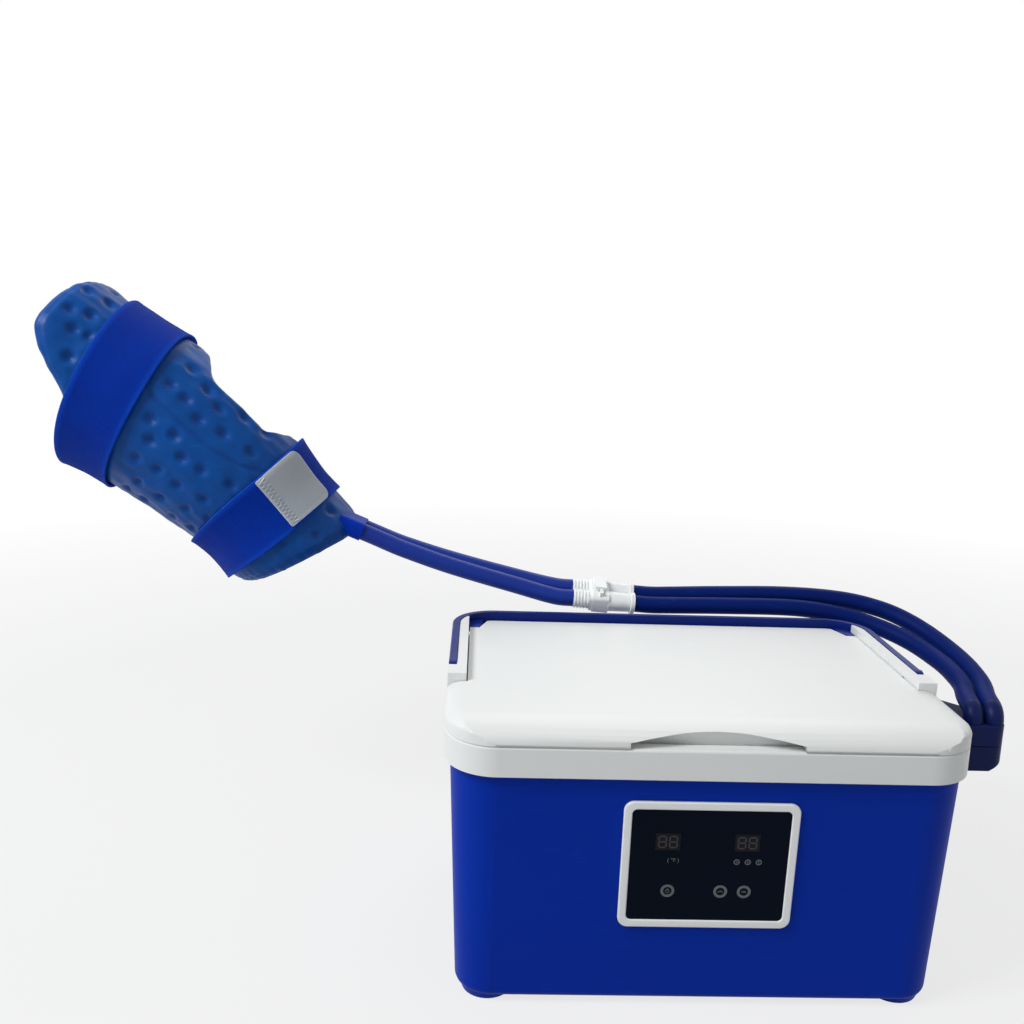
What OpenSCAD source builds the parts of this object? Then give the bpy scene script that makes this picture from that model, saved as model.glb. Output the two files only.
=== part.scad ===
// Hot and cold therapy machine: an insulated water cooler with a control panel, a bail handle and a
// twin hose that feeds a strapped water pad. Millimetres, +Z up, front towards -Y.
// The origin is the centre of the base, on the surface that the machine stands on.

/* [Cooler body] */
// Width of the collar, the widest part of the cooler
collar_w = 380; // [372:1:392]
// Depth of the collar from front to back
collar_d = 257; // [251:1:265]
// Plan radius of the collar's corners
corner_r = 38; // [35:1:42]
// Height from the floor to the underside of the collar
body_h = 183; // [180:1:200]
// Height of the collar band
collar_h = 22; // [20:1:26]
// Thickness of the collar's skirt and top plate
collar_t = 2.5; // [2:0.1:3.2]
// Step in from the collar's face to the body's face
body_inset = 4.3; // [3.8:0.1:5.5]
// Draft of the body walls in degrees
body_draft = 2.4; // [2:0.1:3]
// Wall thickness of the outer body shell
shell_t = 2.5; // [2:0.1:3.2]
// Radius of the body's bottom edge
bottom_r = 7; // [6:1:12]
// Height of the moulded feet
foot_h = 4; // [3:0.5:6]
// Diameter of each moulded foot
foot_d = 42; // [30:1:48]
// Distance of the feet from the collar's side faces
foot_in = 36; // [35:1:60]

/* [Reservoir] */
// Thickness of the side and rear insulation
foam_t = 17; // [15:0.5:20]
// Thickness of the insulation under the reservoir
floor_foam_t = 18; // [16:0.5:24]
// Thickness of the insulation behind the electronics bay
front_foam_t = 12; // [10:0.5:15]
// Depth of the electronics bay behind the front wall
bay_depth = 21; // [20:0.5:24]
// Wall thickness of the inner liner
liner_t = 2.2; // [1.8:0.1:3]
// Plan radius of the liner's corners
liner_r = 24; // [22:1:28]
// Radius of the liner's bottom edge
liner_edge_r = 12; // [8:1:14]
// Gap between the insulation and the walls on each side of it
foam_gap = 0.3; // [0.2:0.05:0.6]

/* [Lid] */
// Height of the lid above the collar
lid_h = 13.9; // [13:0.1:16]
// Gap between the closed lid and the collar
lid_gap = 0.3; // [0.2:0.05:0.5]
// Top skin thickness of the lid
lid_skin = 2.6; // [2:0.1:3.2]
// Length of the soft slope along the lid's front edge
lid_slope = 30; // [24:1:34]
// Step from the collar's rear face forward to the lid's rear edge
lid_back_in = 4.8; // [4.5:0.1:5.5]
// Width of the finger scoop in the lid's front edge
scoop_w = 122; // [100:1:140]
// Depth of the finger scoop
scoop_depth = 11; // [8:0.5:13]
// Height of the finger scoop at its middle
scoop_h = 10.5; // [8:0.5:11]
// Diameter of the lid's hinge pins
hinge_pin_d = 3; // [2.5:0.1:3.4]
// Distance of each hinge from the middle of the lid
hinge_x = 110; // [80:1:120]
// Width of each hinge lug
lug_w = 24; // [18:1:30]

/* [Handle] */
// Thickness of the handle's bail, seen from above
bail_t = 6.2; // [5.5:0.1:7]
// Height of the bail's section
bail_h = 16; // [14:0.5:17]
// Width of the white rails inside the handle's arms
rail_t = 7.9; // [7:0.1:9]
// Height of the rails above the collar
rail_h = 20; // [19:0.5:22]
// Distance of the handle's pivot in front of the middle
pivot_fwd = 8.5; // [4:0.5:12]
// Diameter of the handle's pivot pins
pivot_pin_d = 5; // [4:0.1:6]
// Gap between the handle's arms and the rails
arm_gap = 0.3; // [0.2:0.05:0.6]
// Radial running clearance of every pin, button shank and shaft
run_gap = 0.05; // [0.03:0.01:0.08]

/* [Control panel] */
// Width of the panel's white frame
bezel_w = 125; // [122:1:132]
// Height of the panel's white frame
bezel_h = 99; // [96:1:106]
// Width of the frame's border
bezel_border = 6; // [5:0.5:7]
// How far the frame stands out of the front wall
bezel_proud = 2.5; // [2:0.1:3.5]
// Height of the panel's middle above the floor
panel_z = 116; // [110:1:120]
// Diameter of the three push buttons
button_d = 10.6; // [9:0.1:12]
// Travel of the push buttons
button_travel = 0.5; // [0.3:0.05:0.6]
// Width of each two-digit display window
display_w = 18; // [16:0.5:20]
// Height of each display window
display_h = 13.5; // [11:0.5:15]

/* [Water circuit] */
// Diameter of the pump's body
pump_d = 48; // [42:1:54]
// Diameter of the impeller
impeller_d = 30; // [24:1:32]
// Diameter of the impeller's shaft
shaft_d = 3; // [2.5:0.1:4]
// Outer diameter of the soft tubes inside the reservoir
inner_tube_d = 10; // [9:0.5:11]
// Bore of the tubes, ducts and elbows
tube_bore = 6; // [5:0.5:7]
// Outer diameter of the ducts through the wall
duct_d = 12; // [11.5:0.1:12.5]
// Outer diameter of the insulated hoses
hose_d = 16; // [14:0.5:16]
// Distance between the two hoses' centres
hose_pitch = 17; // [17:0.5:18]
// How far the hose outlet stands out from the collar's side
outlet_out = 74; // [72:1:80]

/* [Quick coupling] */
// Distance between the coupling's two bores
coupling_pitch = 17; // [17:0.5:18]
// Diameter of the plug's nozzles
nozzle_d = 10; // [9:0.1:10.5]
// Length of the plug's nozzles
nozzle_l = 15; // [12:0.5:16]
// Length of the latch block
block_l = 15; // [14.5:0.5:18]
// Length of the bell-shaped hose caps
bell_l = 25; // [22:1:30]
// Length of the ribbed pad-side sleeves
sleeve_l = 18; // [16:1:24]
// Travel of the release latch
latch_travel = 2; // [1.5:0.1:2.5]

/* [Pad and straps] */
// Thickness of the filled pad
pad_t = 11; // [8:0.5:12]
// Width of the straps
strap_w = 54; // [48:1:60]
// Thickness of the straps
strap_t = 2.2; // [1.6:0.1:3]
// Depth of the pad's round dimples
dimple_h = 3.5; // [2:0.5:4.5]
// Length of the grey hook tabs
tab_w = 50; // [40:1:52]

/* [Hidden] */
$fn = 48;

navy = "#0c1e5c";
royal = "#123da8";
white = "#eef0f0";
cut = 1;         // overrun of cutting solids
flat_gap = 0.2;  // gap between flat faces that lie close but aren't fixed together
edge_r = 1.5;    // small edge break on the white mouldings

// Levels of the cooler
collar_top = body_h + collar_h;
plate_z = collar_top - collar_t;
liner_floor = foot_h + shell_t + floor_foam_t;
sump_z = liner_floor + liner_t;
lid_z0 = collar_top + lid_gap;
lid_z1 = lid_z0 + lid_h;

// Plan of the reservoir, which sits behind the electronics bay
wall_in = body_inset + shell_t;
liner_w = collar_w - 2 * (wall_in + foam_t);
bay_back = -(collar_d / 2 - wall_in - bay_depth);
liner_front = bay_back + front_foam_t;
liner_back = collar_d / 2 - wall_in - foam_t;
liner_d = liner_back - liner_front;
liner_cy = (liner_back + liner_front) / 2;

// Mouth of the reservoir: the collar's lip hangs inside the liner
lip_t = 2;
lip_h = 8;
mouth_in = liner_t + foam_gap + lip_t;
mouth_w = liner_w - 2 * mouth_in;
mouth_d = liner_d - 2 * mouth_in;
mouth_r = liner_r - mouth_in;

// Lid hinge and handle pivot
lid_back = collar_d / 2 - lid_back_in;
lid_front = -collar_d / 2;
barrel_r = 3.4;
hinge_y = lid_back - 6.2;
hinge_z = collar_top + 7.5;
pin_grip = 8;            // length of each pin end inside the lid
pivot_z = collar_top + 12;
arm_in = collar_w / 2 - bail_t - arm_gap;
rail_in = arm_in - rail_t;
rail_back = collar_d / 2 - 16.5;
cap_l = 20;              // length of the rail's end block
block_back = -(pivot_fwd + bail_h / 2 + 2);
bail_back = collar_d / 2 + 4;
lid_side_gap = 1;        // gap between the lid and the rails
lid_step_y = block_back - cap_l - 1;
notch_y = lid_back - 26.7;
notch_w0 = 8.6;          // width of the lid's rear corner notch at its front
notch_w1 = 17.6;         // and at the lid's rear edge
lid_half = rail_in - lid_side_gap;

// Front wall and control panel
panel_y = collar_d / 2 - body_in(panel_z);
face_w = bezel_w - 2 * bezel_border;
face_h = bezel_h - 2 * bezel_border;
tray_w = bezel_w - 8;
tray_h = bezel_h - 8;
tray_t = 2.4;
tray_l = 14;
face_back = 0.7 - bezel_proud + 2;   // the fascia is 2 thick and set back 0.7 in its frame
face_t = 2;
face_r = 3.6;
ledge_t = 2;
board_y = 8;
board_t = 1.6;
screw_x = tray_w / 2 - tray_t - 3.5;
screw_z = tray_h / 2 - tray_t - 3.5;
switch_top = board_y - 4.1;
power_x = -28;
up_x = 10;
down_x = 27;
button_z = -20;
display_x = [-30, 26.5];
display_z = 18.5;
lamp_x = 20;
lamp_pitch = 7.9;
lamp_z = 3.5;
lamp_d = 4.6;
header_x = [-40, 10, 30, 44];        // plugs on the board for the four leads
header_z = -31;
lead_d = 4;
lead_y = board_y + board_t + 5.2 - panel_y;   // the leads hang behind the board

// Pump and wiring
pump_x = 70;
pump_y = 50;
strainer_h = 7;
volute_h = 16;
motor_h = 32;
motor_d = pump_d - 8;
volute_z = sump_z + strainer_h;
motor_z = volute_z + volute_h;
nozzle_z = volute_z + volute_h / 2;
pump_out = pump_x + pump_d / 2 + 10;
heater_size = [120, 90, 4];
heater_at = [-70, 8];
probe_z = 70;
probe_x = header_x[0];
wire_z = 60;
jack_x = 120;
jack_z = 34;
jack_d = 10.8;
jack_y = collar_d / 2 - body_in(jack_z);

// Hose outlet on the right-hand wall
outlet_reach = collar_w / 2 + outlet_out;
duct_y = -5.75;
duct_x0 = liner_w / 2 - 10.2;
supply_z = body_h - 29;
return_z = body_h - 12;
out_front = -15;
out_back = 94;
out_x0 = collar_w / 2 - 20;      // inner end of the outlet's walls, inside the cooler's wall
out_top = body_h - 2;
out_split = out_top - 18;
out_bottom = out_top - 39;
out_t = 1.8;
out_round = 10;
elbow_d = hose_d - 0.4;
elbow_bend = 82;
elbow_yaw = 10;
elbow_r = 9.6;
supply_x = outlet_reach - out_t - duct_d / 2 - 0.7;
return_x = supply_x - hose_pitch;

// Twin quick coupling: its own axes, with +x towards the machine's hoses
coupling_at = [-20, 160, 232];
coupling_tilt = 4;
coupling_roll = 19.6;
block_x = -bell_l - block_l;
plug_x = block_x - flat_gap / 2;
nozzle_bore = nozzle_d + 2 * run_gap;
latch_x = block_x + 6;
latch_t = 3;

// Limb that the pad wraps: its axis bends down from the upper strap to the lower strap
limb_at = [-503, 185, 409];
limb_angle = 28;
limb_bend = 22;
limb_l = 169;
limb_bend_r = limb_l / (limb_bend * PI / 180);
strap_gap = 0.5;         // running gap between a strap and the pad under it
port_at = [-278.4, 172, 289.6];
port_tilt = 22;
port_l = 24;

// Wiring
bay_w = 320;
bay_z = 22;
jack_nut_d = 17;
jack_l = 11;
heat_x = header_x[1];
wire_x = header_x[2];
wire_y = -62;
probe_d = 6;
screw_d = 3;
boss_d = 8;
terminal_x = -18;
terminal_y = -47;
power_run = [[jack_x, jack_y - jack_l - 0.1, jack_z], [jack_x, jack_y - jack_l - 4, jack_z],
  [jack_x, jack_y - jack_l - 4, 14], [jack_x, lead_y, 14], [header_x[3], lead_y, 14],
  [header_x[3], lead_y, panel_z + header_z - 2]];
pump_in_d = 16;
shaft_up = 18;           // length of the shaft inside the motor
tube_x = liner_w / 2 - 34.2;
tube_swell = 2;          // extra diameter of the tubes' ball corners
lead_swell = 1;          // and of the leads' corners

// Lid and bail details
bail_z0 = pivot_z - bail_h / 2;
bail_edge = 1;
lid_slope_h = 12;
lid_back_r = 5;
lid_hollow_w = 344;
gasket_h = 1.2;          // depth of the gasket's groove
plug_h = 8;              // depth of the plug under the lid
plug_gap = 3;            // gap between the plug and the collar's lip
lid_plug_back = liner_back - mouth_in - plug_gap;
pin_l = lug_w + 2 * pin_grip;

// Elbows and coupling
bend_z = out_top + flat_gap;
hose_sides = 12;
block_w = 35;
block_h = 20;
valve_d = 6.6;
latch_w = 31;
latch_down = 4.8;
latch_up = block_h / 2 + latch_travel + 1.4;
o_ring_t = 1.9;
o_ring_x = block_x + 12;

// Hose routes
function elbow_end(x) = [x, duct_y, bend_z] + elbow_r * [(1 - cos(elbow_bend)) * sin(elbow_yaw),
  (1 - cos(elbow_bend)) * cos(elbow_yaw), sin(elbow_bend)];
elbow_dir = [sin(elbow_bend) * sin(elbow_yaw), sin(elbow_bend) * cos(elbow_yaw), cos(elbow_bend)];
supply_route = [elbow_end(supply_x), elbow_end(supply_x) + hose_d * elbow_dir,
  [264, 32, 196], [264, 62, 204], [257, 92, 212],
  [243, 122, 221], [222, 144, 229], [187, 160, 235], [134, 168, 237], [66, 168, 236], [-3.8, 168, 233.7],
  [-19.8, 168, 234.8]];
return_route = [elbow_end(return_x), elbow_end(return_x) + hose_d * elbow_dir,
  [246.5, 34, 197], [245.5, 58, 202.5], [240.5, 82, 206.5],
  [230.5, 105.5, 211.5], [216.5, 123.5, 216], [193, 140, 221.5], [163, 148, 226.5], [130, 151.5, 229],
  [63, 152, 229], [-4.2, 152, 228.1], [-20.2, 152, 229.2]];
pad_supply_route = [[-77.8, 168, 238.9], [-93.7, 168, 240], [-128, 172.5, 246.2], [-195.7, 176.5, 262.2],
  [-243.7, 179.5, 276], [-263.6, 180.5, 283.6], [-278.4, 180.5, 289.6]];
pad_return_route = [[-78.2, 152, 233.2], [-94.1, 152, 234.3], [-128, 155.7, 242.2], [-195.7, 159.6, 260],
  [-243.7, 162.6, 275.5], [-263.6, 163.5, 283.6], [-278.4, 163.5, 289.6]];

// Pad on the limb: outer radius along the limb, and its edges round the limb
pad_rows = 25;
pad_cols = 21;
pad_side = 111;
tab_t = 1.8;
pad_outer = [[-110, 92], [-76, 88], [-34, 80], [0, 77.5], [60, 77], [120, 72], [169, 64], [240, 66]];
pad_left = [[-110, -16], [-12, -20], [14, -62], [24, -77], [55, -76], [90, -70], [110, -64]];
pad_right = [[-110, 203], [-90, 203], [60, 235], [110, 235]];
pad_dip = [[35, 1], [62, 0.31], [120, 0.31], [145, 1]];

// ---- Shared shapes ----
// Distance of a drafted wall from the outer face at a height
function drafted(inset, z) = inset + (body_h - z) * tan(body_draft);
function body_in(z) = drafted(body_inset, z);
function unit(v) = v / norm(v);

// Wall profile of a drafted tub with a round bottom edge, as [inset, height] pairs
function tub_wall(inset, z0, z1, r) = concat(
  [for (a = [0:15:90]) [drafted(inset, z0 + r) + r * (1 - sin(a)), z0 + r * (1 - cos(a))]],
  [[drafted(inset, z1), z1]]);

// A solid with a rounded rectangular plan whose wall follows a profile of [inset, height] pairs
module tub(w, d, r, wall) {
  n = len(wall);
  for (sx = [-1, 1], sy = [-1, 1])
    translate([sx * (w / 2 - r), sy * (d / 2 - r), 0])
      rotate_extrude()
        polygon(concat([[0, wall[0][1]]], [for (p = wall) [r - p[0], p[1]]], [[0, wall[n - 1][1]]]));
  rotate([90, 0, 0]) linear_extrude(d - 2 * r, center = true) tub_section(w, wall);
  rotate([90, 0, 90]) linear_extrude(w - 2 * r, center = true) tub_section(d, wall);
}
module tub_section(w, wall) {
  n = len(wall);
  polygon(concat([for (p = wall) [w / 2 - p[0], p[1]]],
    [for (i = [n - 1:-1:0]) [wall[i][0] - w / 2, wall[i][1]]]));
}
module rounded(w, h, r) {
  square([w - 2 * r, h], center = true);
  square([w, h - 2 * r], center = true);
  for (sx = [-1, 1], sy = [-1, 1]) translate([sx * (w / 2 - r), sy * (h / 2 - r)]) circle(r);
}
// Rounded plates: lying flat, facing the front, and facing the side
module block(w, d, r, z0, z1) translate([0, 0, z0]) linear_extrude(z1 - z0) rounded(w, d, r);
module plate(w, h, r, y0, y1)
  translate([0, y1, 0]) rotate([90, 0, 0]) linear_extrude(y1 - y0) rounded(w, h, r);
module slab(w, h, r, x0, x1)
  translate([x0, 0, 0]) rotate([90, 0, 90]) linear_extrude(x1 - x0) rounded(w, h, r);
// Round rods along Y and along X
module rod_y(d, y0, y1) translate([0, y1, 0]) rotate([90, 0, 0]) cylinder(h = y1 - y0, d = d);
module rod_x(d, x0, x1) translate([x0, 0, 0]) rotate([0, 90, 0]) cylinder(h = x1 - x0, d = d);

// A round rod from one point to another
module rod(a, b, d) {
  v = b - a;
  translate(a) rotate([0, acos(v[2] / norm(v)), atan2(v[1], v[0])]) cylinder(h = norm(v), d = d);
}
// A round rod through a list of points, with ball-shaped corners
module run(points, d, swell = 0.4) {
  n = len(points);
  for (i = [0:n - 2]) rod(points[i], points[i + 1], d);
  if (n > 2) for (i = [1:n - 2]) translate(points[i]) sphere(d = d + swell);
}
function longer(p) = let (n = len(p)) concat(
  [p[0] + cut * unit(p[0] - p[1])], [for (i = [1:1:n - 2]) p[i]],
  [p[n - 1] + cut * unit(p[n - 1] - p[n - 2])]);
module pipe(points, d, bore, swell = 0.4) {
  difference() {
    run(points, d, swell);
    run(longer(points), bore, swell);
  }
}
module mirrored_x() {
  children();
  mirror([1, 0, 0]) children();
}

// ---- Axes of the tilted walls ----
// Front wall: x across, z up, +y into the machine
module on_panel() translate([0, -panel_y, panel_z]) rotate([body_draft, 0, 0]) children();
// Rear wall at the power inlet: +y out of the machine
module on_rear() translate([jack_x, jack_y, jack_z]) rotate([-body_draft, 0, 0]) children();
// Outer face of the liner's front wall: +y into the reservoir
module on_liner(x, z) translate([x, liner_front + drafted(0, z), z]) rotate([body_draft, 0, 0]) children();
module on_ducts() for (z = [supply_z, return_z]) translate([0, duct_y, z]) children();

// ---- Cooler body ----
module body_shell() color(royal) {
  difference() {
    union() {
      tub(collar_w, collar_d, corner_r, tub_wall(body_inset, foot_h, plate_z, bottom_r));
      for (p = [[-1, -1], [-1, 1], [1, -1], [1, 1], [0, 0]])
        translate([p[0] * (collar_w / 2 - foot_in), p[1] * (collar_d / 2 - foot_in), 0])
          cylinder(h = foot_h + shell_t / 2, d1 = foot_d - 4, d2 = foot_d);
    }
    tub(collar_w, collar_d, corner_r,
      tub_wall(wall_in, foot_h + shell_t, plate_z + cut, bottom_r - shell_t));
    on_panel() plate(tray_w + 2 * flat_gap, tray_h + 2 * flat_gap, 3, -10, 10);
    on_ducts() rod_x(duct_d, liner_w / 2, collar_w / 2);
    on_rear() rod_y(jack_d, -10, 10);
  }
}

module insulation() color("#e3d9a8") {
  difference() {
    tub(collar_w, collar_d, corner_r,
      tub_wall(wall_in + foam_gap, foot_h + shell_t, plate_z, bottom_r - shell_t - foam_gap));
    translate([0, liner_cy, 0]) tub(liner_w + 2 * foam_gap, liner_d + 2 * foam_gap, liner_r + foam_gap,
      tub_wall(0, liner_floor, plate_z + cut, liner_edge_r));
    translate([-bay_w / 2, -collar_d, bay_z]) cube([bay_w, collar_d + bay_back, collar_top]);
    on_ducts() rod_x(duct_d + 2 * foam_gap, liner_w / 2 - 10, collar_w / 2);
    on_rear() rod_y(jack_nut_d + 2, -25, 10);
    run(power_run, lead_d + 2 * foam_gap, lead_swell);
    for (p = [[probe_x, probe_z], [heat_x, wire_z], [wire_x, wire_z]]) translate([p[0], 0, p[1]])
      rod_y(lead_d + 2 * foam_gap, bay_back - 10, liner_front + 20);
  }
}

module inner_liner() color("#dfe4e6") {
  difference() {
    translate([0, liner_cy, 0]) difference() {
      tub(liner_w, liner_d, liner_r, tub_wall(0, liner_floor, plate_z, liner_edge_r));
      tub(liner_w, liner_d, liner_r, tub_wall(liner_t, sump_z, plate_z + cut, liner_edge_r - liner_t));
    }
    on_ducts() rod_x(duct_d, duct_x0, collar_w / 2);
    on_liner(probe_x, probe_z) rod_y(probe_d, -10, 10);
    for (x = [heat_x, wire_x]) translate([x, 0, wire_z]) rod_y(lead_d, liner_front - 10, liner_front + 20);
  }
}

// ---- Collar with the rails beside the lid, the hinge lugs and the blocks in front of the handle ----
module mouth(grow, z0, z1) translate([0, liner_cy, 0])
  block(mouth_w + 2 * grow, mouth_d + 2 * grow, mouth_r + grow, z0, z1);

module collar() color(white) {
  difference() {
    union() {
      difference() {
        tub(collar_w, collar_d, corner_r, [[0, body_h], [0, collar_top - edge_r],
          [0.3 * edge_r, collar_top - 0.3 * edge_r], [edge_r, collar_top]]);
        block(collar_w - 2 * collar_t, collar_d - 2 * collar_t, corner_r - collar_t, body_h - cut, plate_z);
      }
      mouth(lip_t, plate_z - lip_h, collar_top - edge_r);
      mirrored_x() rail();
      mirrored_x() translate([hinge_x - lug_w / 2, 0, 0]) hinge_lug();
    }
    mouth(0, plate_z - lip_h - cut, collar_top + cut);
    on_pivot() rod_x(pivot_pin_d, -collar_w / 2, collar_w / 2);
    on_hinge() rod_x(hinge_pin_d, -collar_w / 2, collar_w / 2);
  }
}
module rail() {
  intersection() {
    translate([rail_in, block_back - cap_l, collar_top - edge_r])
      cube([collar_w / 2 - rail_in, rail_back - block_back + cap_l, rail_h + edge_r]);
    union() {
      tub(2 * arm_in, 2 * (bail_back - bail_t - arm_gap), corner_r - bail_t - arm_gap,
        [[0, 0], [0, collar_top + rail_h - 1], [1, collar_top + rail_h]]);
      translate([0, block_back - cap_l, 0]) cube([collar_w / 2, cap_l, collar_top + rail_h]);
    }
  }
}
module hinge_lug() {
  translate([0, hinge_y - barrel_r, collar_top - edge_r])
    cube([lug_w, 2 * barrel_r, hinge_z - collar_top + edge_r]);
  on_hinge() rod_x(2 * barrel_r, 0, lug_w);
}
module on_hinge() translate([0, hinge_y, hinge_z]) children();
module on_pivot() translate([0, -pivot_fwd, pivot_z]) children();

// ---- Lid ----
module lid_outline() {
  side = [[collar_w, -collar_d], [collar_w, lid_step_y], [lid_half, lid_step_y], [lid_half, notch_y],
    [lid_half - notch_w0, notch_y], [lid_half - notch_w1, lid_back]];
  n = len(side);
  linear_extrude(lid_z1 + cut)
    polygon(concat(side, [for (i = [n - 1:-1:0]) [-side[i][0], side[i][1]]]));
}
module lid_side() {
  rotate([90, 0, 90]) linear_extrude(collar_w, center = true) polygon(concat(
    [[lid_back - 4.7, lid_z0], [lid_front, lid_z0]],
    [for (a = [0:15:90]) [lid_front + lid_slope * (1 - cos(a)), lid_z1 - lid_slope_h * (1 - sin(a))]],
    [for (a = [0:30:90]) [lid_back - lid_back_r * (1 - sin(a)), lid_z1 - lid_back_r * (1 - cos(a))]],
    [[lid_back, lid_z0 + 3.5]]));
}
module lid_scoop() {
  translate([0, lid_front + scoop_depth, 0]) rotate([90, 0, 0]) linear_extrude(scoop_depth + cut)
    polygon(concat([[scoop_w / 2, lid_z0 - cut], [-scoop_w / 2, lid_z0 - cut]],
      [for (t = [-1:0.125:1]) [t * scoop_w / 2, lid_z0 + scoop_h * (1 - 0.6 * t * t)]]));
}
// The hollow in the lid, wide in front of the handle's blocks and narrow behind them
module lid_hollow(grow, z0, z1) {
  translate([-lid_hollow_w / 2 - grow, lid_front + 20 - grow, z0])
    cube([lid_hollow_w + 2 * grow, 56 + 2 * grow, z1 - z0]);
  translate([-(mouth_w - 3) / 2 - grow, lid_front + 70, z0])
    cube([mouth_w - 3 + 2 * grow, lid_plug_back - lid_front - 70 + grow, z1 - z0]);
}
module lid_shell() color(white) {
  difference() {
    intersection() {
      tub(collar_w, collar_d, corner_r, [[0, lid_z0], [0, lid_z1 - 6.2], [1.2, lid_z1 - 3.7],
        [4, lid_z1 - 1.9], [10, lid_z1 - 0.2], [18, lid_z1]]);
      lid_outline();
      lid_side();
    }
    lid_scoop();
    lid_hollow(0, lid_z0 - cut, lid_z1 - lid_skin);
    gasket_ring(lid_z0 - cut);
    mirrored_x() translate([hinge_x - lug_w / 2 - arm_gap, hinge_y - 5, lid_z0 - cut])
      cube([lug_w + 2 * arm_gap, 20, lid_h - 3 + cut]);
    mirrored_x() on_hinge()
      rod_x(hinge_pin_d + 2 * run_gap, hinge_x - pin_l / 2 - cut, hinge_x + pin_l / 2 + cut);
  }
}
module lid_insulation() color("#e3d9a8") {
  lid_hollow(-foam_gap, lid_z0 + liner_t, lid_z1 - lid_skin);
  mouth(-plug_gap - liner_t - foam_gap, lid_z0 - plug_h + liner_t, lid_z0 + liner_t + cut);
}
module lid_liner() color("#dfe4e6") {
  difference() {
    union() {
      lid_hollow(0, lid_z0, lid_z0 + liner_t);
      mouth(-plug_gap, lid_z0 - plug_h, lid_z0 + cut);
    }
    mouth(-plug_gap - liner_t, lid_z0 - plug_h + liner_t, lid_z1);
    gasket_ring(lid_z0 - cut);
  }
}
module gasket_ring(z0) {
  difference() {
    mouth(5, z0, lid_z0 + gasket_h);
    mouth(1, z0 - cut, lid_z1);
  }
}
module lid_gasket() color("#3a3f44") gasket_ring(collar_top + 0.1);
module lid_hinge_pins() color("#b9bec2")
  mirrored_x() on_hinge() rod_x(hinge_pin_d, hinge_x - pin_l / 2, hinge_x + pin_l / 2);

// ---- Handle ----
module carry_handle() color(navy) {
  difference() {
    union() {
      intersection() {
        difference() {
          tub(collar_w, 2 * bail_back, corner_r, [[bail_edge, bail_z0], [0, bail_z0 + bail_edge],
            [0, bail_z0 + bail_h - bail_edge], [bail_edge, bail_z0 + bail_h]]);
          block(collar_w - 2 * bail_t, 2 * (bail_back - bail_t), corner_r - bail_t,
            bail_z0 - cut, bail_z0 + bail_h + cut);
        }
        translate([-collar_w, -pivot_fwd, 0])
          cube([2 * collar_w, bail_back + pivot_fwd + cut, lid_z1 + bail_h]);
      }
      mirrored_x() on_pivot() rod_x(bail_h, collar_w / 2 - bail_t, collar_w / 2);
      mirrored_x() translate([0, 0, bail_z0]) linear_extrude(10) polygon([[lid_half + 0.2, notch_y + 1.5],
        [lid_half - notch_w0 + 1.6, notch_y + 1.5], [lid_half - notch_w1 + 6, notch_y + 15],
        [lid_half - notch_w1 + 6, bail_back - bail_t + 0.5], [lid_half + 0.2, bail_back - bail_t + 0.5]]);
    }
    on_pivot() rod_x(pivot_pin_d + 2 * run_gap, -collar_w, collar_w);
  }
}
module handle_pins() color("#b9bec2")
  mirrored_x() on_pivot() rod_x(pivot_pin_d, rail_in + 1.4, collar_w / 2 - 0.4);

// ---- Control panel ----
module panel_bezel() color(white) on_panel() {
  difference() {
    union() {
      plate(bezel_w, bezel_h, 7.5, -bezel_proud, 0);
      plate(tray_w, tray_h, 3, -cut, tray_l);
    }
    plate(face_w, face_h, face_r, -bezel_proud - cut, face_back);
    plate(face_w - 7, face_h - 7, 1.5, -cut, face_back + ledge_t + cut);
    plate(tray_w - 2 * tray_t, tray_h - 2 * tray_t, 1, face_back + ledge_t, tray_l + cut);
    translate([-tray_w / 2 + 10, board_y + board_t + 0.2, -tray_h / 2 - cut]) cube([tray_w - 20, tray_l, 5]);
  }
  at_screws() difference() {
    rod_y(boss_d, face_back, board_y);
    rod_y(screw_d, board_y - 5, board_y + cut);
  }
}
module at_screws() for (sx = [-1, 1], sz = [-1, 1]) translate([sx * screw_x, 0, sz * screw_z]) children();
module at_displays() for (x = display_x) translate([x, 0, display_z]) children();
module at_lamps() for (i = [0:2]) translate([lamp_x + i * lamp_pitch, 0, lamp_z]) children();
module at_buttons() for (x = [power_x, up_x, down_x]) translate([x, 0, button_z]) children();

module panel_fascia() color("#0a1018") on_panel() difference() {
  plate(face_w - 2 * flat_gap, face_h - 2 * flat_gap, face_r - flat_gap, face_back - face_t, face_back);
  at_displays() plate(display_w + 2 * flat_gap, display_h + 2 * flat_gap, 0.5, -10, 10);
  at_lamps() rod_y(lamp_d + 2 * flat_gap, -10, 10);
  at_buttons() rod_y(button_d + 2 * run_gap, -10, 10);
}
module circuit_board() color("#1f5a34") on_panel() {
  difference() {
    plate(tray_w - 2 * tray_t - 2, tray_h - 2 * tray_t - 2, 1, board_y, board_y + board_t);
    at_screws() rod_y(screw_d, 0, 20);
  }
  translate([-12, board_y + board_t, -5]) cube([16, 1.5, 16]);
  translate([22, board_y + board_t, 6]) cube([10, 1.5, 6]);
}
module panel_screws() color("#b9bec2") on_panel() at_screws() {
  rod_y(screw_d, board_y - 4.5, board_y + board_t + 0.5);
  rod_y(screw_d + 2, board_y + board_t, board_y + board_t + 1.8);
}
module display(x) on_panel() translate([x, 0, display_z])
  plate(display_w, display_h, 0.3, face_back - face_t + flat_gap, board_y);
module left_display() color("#20262c") display(display_x[0]);
module right_display() color("#20262c") display(display_x[1]);
module status_lamps() color("#d9e2e0") on_panel() at_lamps()
  rod_y(lamp_d, face_back - face_t + flat_gap, board_y);
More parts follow.
